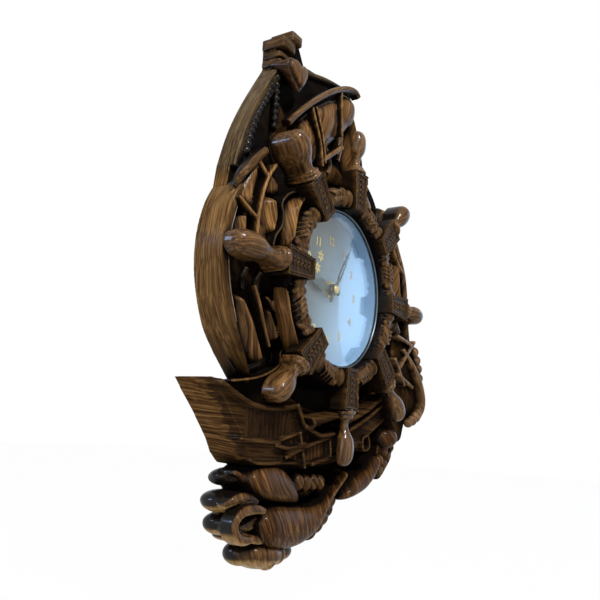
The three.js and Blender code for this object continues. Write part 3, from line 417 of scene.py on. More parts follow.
def walled(forms, edges, depth):
    """Draws a run of edges out to another depth and gives the far edges."""
    made = bmesh.ops.extrude_edge_only(forms, edges=edges)["geom"]
    for part in made:
        if isinstance(part, bmesh.types.BMVert):
            part.co.y = -depth * MM
    return [part for part in made if isinstance(part, bmesh.types.BMEdge)
            and all(abs(corner.co.y + depth * MM) < 1e-7 for corner in part.verts)]


def oblong(left, right, foot, head):
    """The corners of an upright oblong."""
    return [(left, foot), (left, head), (right, head), (right, foot)]


panel_look = oak("panel_oak", stretch=(.04, 1, 1), wall=0, face=1, rub=0, pale=EDGE_PALE, brown=EDGE_BROWN,
                 cover=.955, gloss=0, **NO_STAIN)
# Painted light on the panel's edge: a dim cool tint on the upper lobe, and painted shade at the lower
# lobe's foot.
weathered(panel_look)
back_look = oak("back_oak", lean=4, wall=0, rub=0, pale=(.30, .19, .085, 1), brown=(.17, .10, .042, 1),
                dark=(.07, .04, .017, 1), gloss=.02, **NO_STAIN)
panel_shore = PANEL_TOP + flowing(PANEL_STARBOARD, 4)
panel_waves = flowing(PANEL_WAVES, 3)
panel_port = PANEL_STERN + flowing(LOWER_LOBE, 5) + flowing(UPPER_LOBE, 5)[:-1]
panel_outline = drawn_in(panel_shore + panel_waves + panel_port, [EDGE_INSET] * len(panel_shore)
                         + [WAVE_INSET] * len(panel_waves) + [EDGE_INSET] * len(panel_port))
panel = bmesh.new()
panel_back = loop_edges(panel, panel_outline)
pocket_back = loop_edges(panel, oblong(-POCKET_HALF, POCKET_HALF, -POCKET_HALF, POCKET_HALF))
hanger_back = loop_edges(panel, oblong(*HANGER_POCKET))
bmesh.ops.triangle_fill(panel, edges=panel_back + pocket_back + hanger_back, use_beauty=True)
panel_face = walled(panel, panel_back, PANEL_FRONT)
pocket_face = walled(panel, pocket_back, PANEL_FRONT)
hanger_floor = walled(panel, hanger_back, HANGER_POCKET_DEPTH)
bmesh.ops.triangle_fill(panel, edges=panel_face + pocket_face, use_beauty=True)
bmesh.ops.triangle_fill(panel, edges=hanger_floor, use_beauty=True)
sawn_panel = finished(panel, "sawn_panel", panel_look, ["back_panel"], smooth=False)
sawn_panel.data.materials.append(back_look)
for polygon in sawn_panel.data.polygons:
    polygon.material_index = 1 if polygon.normal.y > .9 else 0

# The raised borders: a rounded lip left standing along the edge of the sails when the field inside was
# sunk by the router, and a thin one along the top edge. Bare sanded oak, one with the panel.


def drawn_out(forms, face, old, new):
    """Extrudes a face and moves its corners from the old places to the new ones."""
    made = bmesh.ops.extrude_face_region(forms, geom=[face])["geom"]
    moved = {tuple(a): b for a, b in zip(old, new)}
    for part in made:
        if isinstance(part, bmesh.types.BMVert):
            part.co = moved[tuple(part.co)]
    return next(part for part in made if isinstance(part, bmesh.types.BMFace))


def ridge(forms, line, half=3, top=25, floor=11, steps=4, sides=8, rise=1):
    """A carved bar along a line: upright walls from the floor and a round top.
    A point may give its own half width and top."""
    stations = flowing([tuple(p) + (half, top)[len(p) - 2:] for p in line], steps)
    face = old = None
    for i, (x, z, wide, crest) in enumerate(stations):
        before, after = stations[max(i - 1, 0)], stations[min(i + 1, len(stations) - 1)]
        run = Vector((after[0] - before[0], after[1] - before[1])).normalized()
        arch = min(wide * rise, crest - floor - .2)
        new = [at(x + run.y * wide, z - run.x * wide, floor)]
        for side in range(sides + 1):
            turn = math.pi * side / sides
            out = wide * math.cos(turn)
            new.append(at(x + run.y * out, z - run.x * out, crest - arch + arch * math.sin(turn)))
        new.append(at(x - run.y * wide, z + run.x * wide, floor))
        if face is None:
            face = forms.faces.new([forms.verts.new(place) for place in new])
        else:
            face = drawn_out(forms, face, old, new)
        old = new


def carved(forms, name, look, nodes=(), grid=.9, ease=2):
    """Joins the overlapping forms into one carved skin, as a router cuts them from one block."""
    piece = finished(forms, name, look, nodes)
    skin = piece.modifiers.new("skin", "REMESH")
    skin.mode = "VOXEL"
    skin.voxel_size = grid * MM
    skin.use_smooth_shade = True
    sanding = piece.modifiers.new("sanding", "SMOOTH")
    sanding.factor = .5
    sanding.iterations = ease
    cut = bpy.data.meshes.new_from_object(piece.evaluated_get(bpy.context.evaluated_depsgraph_get()))
    piece.modifiers.clear()
    piece.data = cut
    return piece


border_look = oak("border_oak", stretch=(.04, 1, 1), wall=0, face=.55, pale=EDGE_PALE, brown=EDGE_BROWN,
                  dark=(.05, .025, .009, 1), gloss=.02, **NO_STAIN)
# Painted light on the borders: a dim cool tint on the upper lobe, and painted shade at the lower lobe's
# foot.
weathered(border_look)
lobe_border = bmesh.new()
ridge(lobe_border, [(-86, -80, 3, 17), (-94.6, -71.4, 3.2, 20), (-105.2, -61, 3.4, 23), (-117.4, -46.6),
                    (-126.2, -27), (-130.6, -7.7), (-130.6, 11.7), (-126.2, 31), (-119.2, 45)],
      half=3.5, top=25.5, floor=.3, steps=6, rise=.7)
carved(lobe_border, "lower_lobe_border", border_look)
# A thin pale ridge along the inner edge of the lower lobe: a painted highlight, for the light caught on the
# border's edge.
painted_highlight_look = oak("painted_highlight_oak", wall=0, pale=(.44, .34, .24, 1), brown=(.24, .17, .11, 1),
               dark=(.12, .08, .05, 1), gloss=.2, coat=.2, **NO_STAIN)
painted_highlight_ridge = bmesh.new()
ridge(painted_highlight_ridge, [(-114.2, -45, .3, 24.3), (-123.3, -26.1), (-127.7, -7.4), (-127.7, 11.4),
                 (-123.4, 30, .3)], half=.6, top=25, floor=20, steps=6)
carved(painted_highlight_ridge, "lower_lobe_painted_highlight", painted_highlight_look, grid=.3, ease=0)
upper_border = bmesh.new()
ridge(upper_border, [(-115, 60.5), (-107.6, 88.4), (-94.8, 116.4), (-75.6, 150.4)], half=4.8, top=17,
      floor=.3, steps=8, rise=.4)
ridge(upper_border, [(-44, 172, 1.5), (-35, 171), (-10, 178), (18, 183), (35, 185)], half=2, top=16,
      floor=4)
carved(upper_border, "upper_lobe_border", border_look)

# The keyhole hanger: a pressed plate of zinc-plated steel, let in flush with the back of the panel and
# held by two countersunk screws.


def metal(name, tone, shade, rough, scale=900):
    """Metal with fine scratches and small changes of tone."""
    look, tree, shader = new_look(name)
    specks = noise(tree, object_place(tree), scale, 3)[0]
    tree.links.new(colour_mix(tree, specks, tone, shade), shader["Base Color"])
    tree.links.new(spread(tree, specks, 0, 1, rough * .7, rough * 1.4), shader["Roughness"])
    shader["Metallic"].default_value = 1
    return look


def dressed(look, *names):
    """Gives CAD nodes that are shown as they are their material."""
    for name in names:
        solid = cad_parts[name]
        solid.data.materials.clear()
        solid.data.materials.append(look)


steel_look = metal("zinc_steel", (.55, .56, .57, 1), (.38, .39, .41, 1), .32)
dressed(steel_look, "hanger_plate", "hanger_screw_1", "hanger_screw_2")

# The quartz movement: a black moulded case and cover, an AA cell, a green circuit board, a copper coil and
# a train of white moulded wheels on a brass centre wheel. It drops into the pocket from behind.


def plastic(name, tone, shade, rough=.4, scale=700):
    """Moulded plastic with a fine moulded grain."""
    look, tree, shader = new_look(name)
    grain = noise(tree, object_place(tree), scale, 2)[0]
    tree.links.new(colour_mix(tree, grain, tone, shade), shader["Base Color"])
    bump = add_node(tree, "ShaderNodeBump", {"Strength": .15, "Distance": .0002, "Height": grain})
    tree.links.new(bump.outputs[0], shader["Normal"])
    shader["Roughness"].default_value = rough
    return look


dressed(plastic("case_black", (.018, .018, .020, 1), (.032, .032, .034, 1)), "movement_case",
        "movement_cover", "setting_knob")
dressed(plastic("wheel_white", (.72, .72, .69, 1), (.62, .62, .59, 1)), "third_wheel", "motion_wheel",
        "hour_wheel")
dressed(steel_look, "plus_contact", "minus_contact", "rotor", "stator")
dressed(metal("brass", (.80, .58, .22, 1), (.62, .42, .14, 1), .28), "centre_wheel", "fixing_nut",
        "hand_cap")
dressed(plastic("board_green", (.02, .14, .05, 1), (.03, .20, .08, 1), scale=300), "circuit_board")
dressed(metal("copper_wire", (.62, .27, .13, 1), (.42, .16, .07, 1), .35, 2600), "coil")
dressed(plastic("cell_wrap", (.62, .45, .10, 1), (.75, .58, .16, 1), .3, 120), "battery")

# The dial: a printed plate on a plywood backing, with small gilt numerals and two rosettes raised on it.
# Plate and backing are glued in the wheel's well. Its colour is a painted reflection of the room and the
# window: a dark olive grey that fades to pale blue towards the lower right.
NUMERAL_RADIUS = 39.5
NUMERAL_SIZE = 9.5
NUMERAL_RAISE = .15
NUMERAL_BOLD = .25
DIAL_FRONT = 22
PETAL_REACH = 2.7
REFLECTION_SLOPE = -.35
REFLECTION_START = -.042
REFLECTION_END = .055


def polar(radius, degrees):
    """Millimetres right of and above the wheel's centre, clockwise from the top."""
    return radius * math.sin(math.radians(degrees)), radius * math.cos(math.radians(degrees))


def lump(forms, x, z, depth, radius, squash=1.0, long=1.0, lean=0):
    """A round knob, squashed or stretched out from the wall, and drawn long at a lean from upright."""
    bmesh.ops.create_icosphere(forms, subdivisions=3, radius=1, matrix=Matrix.Translation(at(x, z, depth))
                               @ Matrix.Rotation(math.radians(lean), 4, "Y")
                               @ Matrix.Diagonal((radius * MM, radius * squash * MM, radius * long * MM,
                                                  1)))


dressed(oak("backing_ply"), "dial_backing")
# Painted reflection: the plate is dark olive grey, fading to pale blue towards the lower right.
dial_look = plastic("dial_painted_reflection", (.055, .066, .045, 1), (.07, .082, .06, 1), .35, 60)
dial_tree = dial_look.node_tree
dial_paint = dial_tree.nodes["Principled BSDF"].inputs["Base Color"]
dial_place = parted(dial_tree, object_place(dial_tree))
reflection_middle = WHEEL.x + REFLECTION_SLOPE * WHEEL.z
dial_reflection = spread(dial_tree, maths(dial_tree, "MULTIPLY_ADD", dial_place[2], REFLECTION_SLOPE, dial_place[0]),
                   reflection_middle + REFLECTION_START, reflection_middle + REFLECTION_END, easing="SMOOTHSTEP")
dial_tree.links.new(colour_mix(dial_tree, dial_reflection, dial_paint.links[0].from_socket, (.38, .60, .86, 1)),
                    dial_paint)
dressed(dial_look, "dial_plate")
numerals = bmesh.new()
for hour in range(1, 13):
    text = bpy.data.curves.new("numeral", "FONT")
    text.body = str(hour)
    text.size = NUMERAL_SIZE * MM
    text.extrude = NUMERAL_RAISE * MM
    text.offset = NUMERAL_BOLD * MM
    text.align_x = "CENTER"
    text.align_y = "CENTER"
    text.resolution_u = 3
    figure_object = bpy.data.objects.new("numeral", text)
    figure_mesh = bpy.data.meshes.new_from_object(figure_object)
    figure_mesh.transform(Matrix.Translation(at(*polar(NUMERAL_RADIUS, 30 * hour), DIAL_FRONT + .1))
                          @ Matrix.Rotation(math.pi / 2, 4, "X"))
    numerals.from_mesh(figure_mesh)
    bpy.data.objects.remove(figure_object)
for flower_x, flower_z in ((-15, 24), (-19, 14)):
    for petal_turn in range(0, 360, 60):
        petal_x, petal_z = polar(PETAL_REACH, petal_turn)
        lump(numerals, flower_x + petal_x, flower_z + petal_z, DIAL_FRONT, 1, .4, 1.9, petal_turn)
finished(numerals, "dial_numerals", metal("gilt", (.83, .62, .22, 1), (.66, .46, .13, 1), .34),
         smooth=False)

# The hands: thin pressed metal, blackened to a dark green grey.
# They are pushed on the movement's two shafts and held by a small brass cap.
dressed(metal("hand_grey", (.055, .075, .062, 1), (.085, .105, .09, 1), .4), "hour_hand", "minute_hand")

# The glazing: a pale spacer ring lifts the flat glass off the dial, and a black lacquered bezel with a
# bright bead holds both.
BEZEL_BEAD_RADIUS = 61.6
BEZEL_BEAD_DEPTH = 34
BEZEL_BEAD_HALF = .8
BEZEL_BEAD_SIDES = 10
TURNED_STEPS = 120


def turned_ring(forms, profile):
    """Spins a closed profile of radius and depth round the wheel's axis."""
    corners = [forms.verts.new(at(radius, 0, depth)) for radius, depth in profile]
    edges = [forms.edges.new((a, b)) for a, b in zip(corners, corners[1:] + corners[:1])]
    bmesh.ops.spin(forms, geom=corners + edges, cent=at(0, 0, 0), axis=(0, 1, 0), angle=2 * math.pi,
                   steps=TURNED_STEPS, use_merge=True)


dressed(plastic("spacer_pale", (.33, .50, .70, 1), (.37, .54, .75, 1), .3), "spacer_ring")
dressed(plastic("bezel_black", (.010, .012, .016, 1), (.018, .022, .028, 1), .16), "bezel_ring")
bead_turns = [2 * math.pi * side / BEZEL_BEAD_SIDES for side in range(BEZEL_BEAD_SIDES)]
bead = bmesh.new()
turned_ring(bead, [(BEZEL_BEAD_RADIUS + BEZEL_BEAD_HALF * math.cos(turn),
                    BEZEL_BEAD_DEPTH + BEZEL_BEAD_HALF * math.sin(turn)) for turn in bead_turns])
finished(bead, "bezel_bead", metal("bright_ring", (.13, .17, .21, 1), (.09, .12, .16, 1), .3))
glass_look, glass_tree, glass_shader = new_look("dial_glass")
glass_smear = noise(glass_tree, object_place(glass_tree), 30, 2)[0]
glass_tree.links.new(colour_mix(glass_tree, glass_smear, (.93, .97, .98, 1), (.97, .99, 1, 1)),
                     glass_shader["Base Color"])
glass_shader["Roughness"].default_value = .02
glass_shader["IOR"].default_value = 1.33
glass_shader["Transmission Weight"].default_value = 1
dressed(glass_look, "dial_glass")

# The wheel's rim: a turned oak ring glued round the dial, carved between the blocks with rope bindings
# and with the knuckles of knots beside each block. Dark in the hollows, rubbed bare on top.
RIM_PROFILE = [(64.1, 12), (64.1, 38), (65.5, 41), (68, 43), (71, 43.2), (74.5, 41.5), (77, 38), (78, 32),
               (78.5, 12)]
BINDING_OFFSETS = (-4.5, -1.5, 1.5, 4.5)
rim_look = oak("rim_oak", lean=15, low=.034, high=.043, pale=(.20, .115, .047, 1),
               brown=(.078, .041, .0155, 1))
rim = bmesh.new()
turned_ring(rim, RIM_PROFILE)
for gap in range(8):
    centre = 22.5 + 45 * gap
    for offset in BINDING_OFFSETS:
        binding = centre + offset
        ridge(rim, [polar(65, binding - 3) + (.6, 42), polar(68.5, binding - 1), polar(71.5, binding + 1.4),
                    polar(75, binding - .6), polar(78.4, binding - 3) + (.6, 38)], half=.9, top=44.6,
              floor=32)
    for side in (-1, 1):
        lump(rim, *polar(68.5, centre + side * 9.6), 40, 3.2, 1.3, 1.8, centre + side * 25)
        lump(rim, *polar(75, centre + side * 10.4), 38.5, 3, 1.5, 1.6, centre - side * 35)
        lump(rim, *polar(70.5, centre + side * 14.6), 40.6, 3.8, 1.35, 1.9, centre + side * 8)
carved(rim, "carved_rim", rim_look, ["wheel_rim"], grid=.75, ease=1)

# The eight spokes: each a keystone block with a framed panel, and a handle turned with two collars.
# Carved from one piece of oak, the handles stand on a stained skirt that joins them to the relief below.
BLOCK_INNER = 62
BLOCK_OUTER = 93.4
BLOCK_INNER_HALF = 7.5
BLOCK_OUTER_HALF = 10
BLOCK_BACK = 34.3
BLOCK_FRONT = 48.6
FRAME_WIDTH = 1.1
FRAME_BEVEL = .7
PANEL_SINK = 1.3
SCROLL_PITCH = 4.4
HANDLE_AXIS = 42
HANDLE_PROFILE = [(91, 6), (93.4, 6.2), (94, 8.3), (96, 8.3), (96.6, 6.2), (97.4, 7.8), (98.9, 7.6),
                  (99.8, 5.1), (103, 4.7), (107, 5.7), (112, 7.8), (117, 8.9), (122, 8.7), (126, 7.4),
                  (129, 4.6), (130, 1.6)]
HANDLE_ROOT = 95
HANDLE_LENGTH = 35
WAIST_AT = 103
WAIST_REACH = 9
HANDLE_FLOORS = (40, 30, 32, 32, 40, 32, 28, 25)
HANDLE_GIRTHS = (.8, .95, .9, .95, .88, .84, 1.02, 1.04)
HANDLE_NECKS = (.6, .9, .9, .9, .62, .9, .9, 1)
HANDLE_REACHES = (0, 0, 0, 4, 4, 0, 9, 0)
HANDLE_DROOPS = (0, 0, 0, 0, 0, 0, 8, 0)
HANDLE_DRIFTS = (0, 0, 0, 0, 0, 0, 3, 0)
# The black stain on each handle's walls. It differs between the copies as painted light and shade: little
# on the handles at the top, bottom and left, and heavy on those at 1:30, 3:00 and 4:30, away from the
# lamps.
HANDLE_WALL_STAIN_AND_SHADE = (.15, 1, .7, .7, .15, .15, .15, .15)
HANDLE_COATS = (.4, .16, .16, .16, .4, .16, .16, .16)
BLOCK_CORNERS = [(-BLOCK_INNER_HALF, BLOCK_INNER), (BLOCK_INNER_HALF, BLOCK_INNER),
                 (BLOCK_OUTER_HALF, BLOCK_OUTER), (-BLOCK_OUTER_HALF, BLOCK_OUTER)]
block_look = oak("block_oak", lean=10, wall=.9, face=.62, low=.03, high=.0425, rub=.9, gloss=.02,
                 pale=(.19, .112, .047, 1), brown=(.078, .042, .016, 1))


def sunk(forms, face, border, depth):
    """Insets a face by a border and sinks it, or raises it by a depth below nought."""
    bmesh.ops.inset_region(forms, faces=[face], thickness=border * MM, use_even_offset=True)
    for corner in face.verts:
        corner.co.y += depth * MM


for number in range(8):
    swing = Matrix.Rotation(math.radians(45 * number), 3, "Y")
    block = bmesh.new()
    foot = [at(x, z, BLOCK_BACK) for x, z in BLOCK_CORNERS]
    head = [at(x, z, BLOCK_FRONT) for x, z in BLOCK_CORNERS]
    block_top = drawn_out(block, block.faces.new([block.verts.new(place) for place in foot]), foot, head)
    sunk(block, block_top, FRAME_WIDTH, PANEL_SINK)
    sunk(block, block_top, FRAME_BEVEL, -PANEL_SINK)
    sunk(block, block_top, FRAME_WIDTH, PANEL_SINK)
    scroll_z = BLOCK_INNER + 7
    while scroll_z < BLOCK_OUTER - 6:
        ridge(block, [(-2.6, scroll_z), (-.8, scroll_z + 2), (.9, scroll_z - .5), (2.8, scroll_z + 1.7)],
              half=.5, top=BLOCK_FRONT - .3, floor=BLOCK_FRONT - 3, sides=6)
        scroll_z += SCROLL_PITCH
    bmesh.ops.rotate(block, cent=WHEEL, matrix=swing, verts=block.verts)
    carved(block, f"carved_block_{number + 1}", block_look, [f"spoke_{number + 1}"], grid=.45, ease=0)
    handle = bmesh.new()
    stations = []
    for distance, half in HANDLE_PROFILE:
        share = max(distance - HANDLE_ROOT, 0) / HANDLE_LENGTH
        waist = max(1 - abs(distance - WAIST_AT) / WAIST_REACH, 0)
        girth = half * (1 + (HANDLE_GIRTHS[number] - 1) * min(share * 3, 1))
        girth *= 1 + (HANDLE_NECKS[number] - 1) * waist
        stations.append((HANDLE_DRIFTS[number] * share, distance + HANDLE_REACHES[number] * share, girth,
                         HANDLE_AXIS + girth - HANDLE_DROOPS[number] * share))
    ridge(handle, stations, floor=HANDLE_FLOORS[number], steps=3, sides=14)
    bmesh.ops.rotate(handle, cent=WHEEL, matrix=swing, verts=handle.verts)
    # Painted shade: the heavily stained handles also take their stain higher up the walls.
    stain_low, stain_high = (.024, .036) if HANDLE_WALL_STAIN_AND_SHADE[number] < .5 else (.032, .041)
    handle_look = oak(f"handle_oak_{number + 1}", lean=-45 * number, stretch=(1, .4, 1), gloss=.08,
                      wall=HANDLE_WALL_STAIN_AND_SHADE[number], low=stain_low, high=stain_high, coat=HANDLE_COATS[number])
    carved(handle, f"turned_handle_{number + 1}", handle_look, grid=.65, ease=1)

# The masthead: two stacked cap slabs over a banded trunk, and a heart-shaped pulley block on its front.
# Carved oak glued to the panel, the slabs' ends sanded bare.
PULLEY_FACE = 26
PULLEY_DEPTH = 15
PULLEY_NECK = 157
PULLEY_TAPER = .6


def nearest_on(line, x, z):
    """The nearest point to a place on a line of straight stretches."""
    best = None
    for (ax, az), (bx, bz) in zip(line, line[1:] or line):
        along = Vector((bx - ax, bz - az))
        reach = along.length_squared
        share = min(max(Vector((x - ax, z - az)).dot(along) / reach, 0), 1) if reach else 0
        found = Vector((ax, az)) + along * share
        if best is None or (found - Vector((x, z))).length < (best - Vector((x, z))).length:
            best = found
    return best


def pillow(forms, outline, floor=11, shoulder=18, crown=26, spine=None, steps=4, rings=6, swell=2.0):
    """A carved swelling: upright walls to the shoulder, then a dome up to its spine or its middle."""
    loop = flowing(outline, steps, closed=True) if steps > 1 else list(outline)
    middle = (sum(x for x, z in loop) / len(loop), sum(z for x, z in loop) / len(loop))
    goals = [nearest_on(spine or [middle], x, z) for x, z in loop]
    old = [at(x, z, floor) for x, z in loop]
    face = forms.faces.new([forms.verts.new(place) for place in old])
    for ring in range(rings + 1):
        share = math.cos(math.pi / 2 * ring / (rings + .35))
        depth = shoulder + (crown - shoulder) * (1 - share ** swell) ** (1 / swell)
        new = [at(goal.x + (x - goal.x) * share, goal.y + (z - goal.y) * share, depth)
               for goal, (x, z) in zip(goals, loop)]
        face = drawn_out(forms, face, old, new)
        old = new


cap_look = oak("cap_oak", lean=80, wall=.5, face=.3, **NO_STAIN, cover=.85, rub=.5,
               pale=(.19, .118, .055, 1), brown=(.08, .045, .019, 1))
mast_cap = bmesh.new()
for slab_left, slab_right, slab_foot, slab_head, slab_front in (
        (-70, -56, 180, 188, 22), (-80, -63, 170.5, 179, 21), (-78.5, -62, 163.5, 168.5, 17),
        (-79, -62, 156.5, 161.5, 18), (-76.5, -60, 155, 181, 14)):
    pillow(mast_cap, oblong(slab_left, slab_right, slab_foot, slab_head),
           floor=.3, shoulder=slab_front - 3, crown=slab_front, steps=1, rings=4, swell=3)
carved(mast_cap, "carved_mast_cap", cap_look, ["mast_cap"], grid=.6, ease=6)
pulley = bmesh.new()
pillow(pulley, [(-82, 151.5), (-80.5, 157), (-76, 160), (-68, 159.5), (-59, 160), (-56.5, 154), (-58, 147),
                (-61.5, 141.5), (-64.5, 137.5), (-70, 140.5), (-77, 145.5)], shoulder=PULLEY_FACE, crown=28,
       swell=3)
for corner in pulley.verts:
    behind = min(max(PULLEY_FACE + corner.co.y / MM, 0) / PULLEY_DEPTH, 1)
    corner.co.z += (at(0, PULLEY_NECK, 0).z - corner.co.z) * PULLEY_TAPER * behind
carved(pulley, "carved_pulley", oak("pulley_oak", lean=12, wall=.25, face=.8, low=.010, high=.018,
                                    pale=(.2, .1, .045, 1), brown=(.08, .036, .016, 1), gloss=.08,
                                    coat=.08), ["pulley_block"], grid=.5, ease=1)
heart_plate = bmesh.new()
pillow(heart_plate, [(-81, 150.5), (-80, 155), (-76, 157.5), (-71.5, 157), (-68.5, 155.5), (-64.5, 158),
                     (-60.5, 157), (-59, 153), (-60.5, 148), (-63, 143.5), (-65.5, 140.5), (-70.5, 143.5),
                     (-77, 147.5)], floor=24, shoulder=29.5, crown=31.5, swell=2.5)
carved(heart_plate, "carved_heart_plate", oak("plate_oak", lean=12, wall=.4, low=.022, high=.028,
                                              gloss=.08, coat=.1), grid=.5, ease=1)

# The shrouds: two strings of wooden beads from the masthead to the sail, growing downwards.
# Each is carved in one with a thin rib behind it, stained nearly black and glued to the panel.
BEAD_PITCH = 5.5
BEAD_RADIUS = 2.75
BEAD_DEPTH = 16
OUTER_SHROUD = [(-85, 136), (-91, 122), (-97, 112), (-101, 103), (-105, 92), (-107, 84), (-109, 74)]
INNER_SHROUD = [(-79, 145), (-79, 131), (-79, 117), (-79, 106)]
bead_look = oak("bead_oak", wall=.6, low=.012, high=.018, pale=(.008, .0055, .0045, 1),
                brown=(.0045, .0034, .003, 1), dark=(.003, .0022, .002, 1), gloss=.03, coat=.22)


def strung(forms, line, pitch, radius, depth, growth=0.0):
    """Beads at an even pitch along a line, each larger than the one before by a growth."""
    way = flowing(line, 24)
    gone = pitch
    for (ax, az), (bx, bz) in zip(way, way[1:]):
        gone += math.hypot(bx - ax, bz - az)
        if gone >= pitch:
            lump(forms, bx, bz, depth, radius)
            gone -= pitch
            radius += growth


for shroud_name, shroud_line, bead_growth in (("outer_shroud", OUTER_SHROUD, .075),
                                              ("inner_shroud", INNER_SHROUD, .03)):
    shroud = bmesh.new()
    ridge(shroud, shroud_line, half=1.2, top=15.5)
    strung(shroud, shroud_line, BEAD_PITCH, BEAD_RADIUS, BEAD_DEPTH, bead_growth)
    carved(shroud, f"beaded_{shroud_name}", bead_look, [shroud_name], grid=.5, ease=0)

# The topsail: cloth panels carved as swellings between ropes under a bowed yard with a hooked end, the main
# yard below on the left, and low folds in the black field. Stained and lacquered oak, glued to the panel.
sail_look = oak("sail_oak", lean=-12, low=.014, high=.022, pale=(.36, .205, .078, 1),
                brown=(.135, .07, .025, 1))
topsail = bmesh.new()
pillow(topsail, [(-58, 112), (-40, 134), (-8, 158), (14, 172), (28, 169), (28, 157), (16, 140), (-2, 124),
                 (-22, 102), (-38, 90), (-52, 98)], shoulder=17, crown=23,
       spine=[(-44, 106), (-16, 132), (16, 160)])
pillow(topsail, [(-40, 136), (-27, 147), (-7, 160), (-4, 149), (-4, 135), (-14, 119), (-27, 107),
                 (-32, 120)], crown=28)
pillow(topsail, [(-57, 112), (-48, 124), (-40, 117), (-36, 102), (-45, 94), (-53, 103)], crown=27)
pillow(topsail, [(2, 168), (15, 174), (28, 171), (29, 158), (22, 148), (4, 146)], crown=26)
for rope in ([(-47, 133), (-40, 122), (-32, 108), (-28, 92)],
             [(-42, 136), (-34, 124), (-27, 108), (-24, 96)], [(-5, 166), (-4, 152), (-2, 138), (-1, 128)]):
    ridge(topsail, rope, half=1, top=29, floor=22)
ridge(topsail, [(-26, 98), (-9, 111), (5, 122)], half=2.2, top=27, floor=21)
ridge(topsail, [(10, 147, 2), (12, 130, 4), (8, 112, 3)], top=21)
ridge(topsail, [(-12, 118, 1.5), (-2, 106, 3), (-6, 96, 2)], top=20)
carved(topsail, "carved_topsail", sail_look, ["topsail"])
field_folds = bmesh.new()
for fold in ([(33, 172), (43, 160), (50, 141), (61, 124), (52, 113), (40, 120), (33, 142)],
             [(30, 150), (36, 130), (48, 110), (42, 98), (26, 108), (20, 128)],
             [(-72, 126), (-62, 117), (-59, 104), (-63, 86), (-74, 80), (-80, 97)],
             [(-30, 92), (-14, 104), (2, 112), (22, 108), (30, 98), (8, 92), (-12, 86)],
             [(70, 82), (82, 92), (78, 74), (88, 52), (80, 46), (70, 62)],
             [(92, 40), (100, 44), (106, 24), (104, 4), (96, 2), (90, 20)]):
    pillow(field_folds, fold, shoulder=13.5, crown=18.5, swell=1.6)
carved(field_folds, "carved_field_folds", oak("field_oak", lean=-20, wall=1, face=.25, low=.012, high=.02,
                                              cover=.96, gloss=0, coat=0), grid=.8)
yard_look = oak("yard_oak", lean=-48, stretch=(1, 1, 1), low=.022, high=.027,
                pale=(.2, .118, .05, 1), brown=(.085, .046, .018, 1))
topsail_yard = bmesh.new()
ridge(topsail_yard, [(-78, 107, 2.6), (-66, 120), (-49, 136), (-31, 151), (-11, 165), (5, 173.5),
                     (17, 176.5), (23, 174, 2.6)], half=2.5, top=30.5, floor=22, steps=6)
carved(topsail_yard, "carved_topsail_yard", yard_look, ["topsail_yard"], grid=.7)
main_yard = bmesh.new()
ridge(main_yard, [(-126, 42, 2.4, 24), (-122, 52, 3.3, 28), (-116, 60.5), (-108.5, 69), (-101, 76.5, 3)],
      half=3.3, top=30, floor=22, steps=6)
carved(main_yard, "carved_main_yard", yard_look, ["main_yard"], grid=.7)

# The sails on the left: leaf-shaped folds of cloth between ropes, and a loose pennant edge.
# Lacquered oak, carved in two halves above and below the wheel's left handle and glued to the panel.


def slanted(degrees):
    """Long grain that slants out of the plane of the wall, leaned by some degrees."""
    return tuple((Matrix.Rotation(math.radians(degrees), 3, "Y")
                  @ Matrix.Rotation(math.radians(56), 3, "Z")).to_euler())


leaf_grain = slanted(13)
leaf_look = oak("leaf_oak", turn=leaf_grain, low=.014, high=.022, pale=(.40, .225, .082, 1),
                brown=(.145, .074, .026, 1), gloss=.06, coat=.04)
foresail = bmesh.new()
pillow(foresail, [(-108, 67), (-103, 60), (-105, 46), (-108, 33), (-120, 33), (-125, 38), (-119, 51)],
       shoulder=17, crown=27, spine=[(-110, 58), (-115, 40)])
pillow(foresail, [(-123, 23), (-115, 29), (-109, 24), (-108, 12), (-112, 4), (-121, 6)], shoulder=15,
       crown=26, spine=[(-115, 25), (-115, 8)], swell=1.4)
pillow(foresail, [(-101.5, 38), (-95, 47.5), (-87, 45), (-84, 33), (-88, 18), (-97.5, 24)], shoulder=18,
       crown=31, spine=[(-88.5, 43), (-86, 33), (-88.5, 23)], swell=1.3)
pillow(foresail, [(-87, 67), (-77, 61), (-78, 50), (-88, 52)], shoulder=16, crown=25)
pillow(foresail, [(-56, 65), (-67, 55), (-77, 46), (-81, 34), (-80, 22), (-76, 11), (-71, 20), (-67, 34),
                  (-63, 47)], floor=26, shoulder=30, crown=39, spine=[(-60, 59), (-73, 42), (-75.5, 18)],
       swell=1.2)
ridge(foresail, [(-109, 67), (-103, 63), (-97, 59)], half=1.5, top=29, floor=22)
ridge(foresail, [(-127, 35, .7), (-118, 31), (-108, 27, 1.1)], half=1.4, top=29.5, floor=22)
ridge(foresail, [(-90, 70), (-97, 60), (-102, 48), (-104.5, 38), (-106, 28), (-106.5, 12)], half=1.3,
      top=30.5, floor=21)
pillow(foresail, [(-101, 26), (-95, 25), (-86, 16), (-84, 6), (-92, 4), (-100, 10)], shoulder=18, crown=26,
       spine=[(-96, 20), (-90, 9)])
carved(foresail, "carved_foresail", leaf_look, ["foresail"])
pennant = bmesh.new()
ridge(pennant, [(-56, 63), (-66, 58), (-78, 52), (-85, 43), (-82.5, 35), (-83.5, 27), (-90, 18), (-92, 10)],
      half=.8, top=33.3, floor=16)
carved(pennant, "carved_pennant", oak("pennant_oak", wall=1, low=.020, high=.034, pale=(.10, .068, .044, 1),
                                      brown=(.04, .024, .013, 1)), grid=.5, ease=1)
mainsail = bmesh.new()
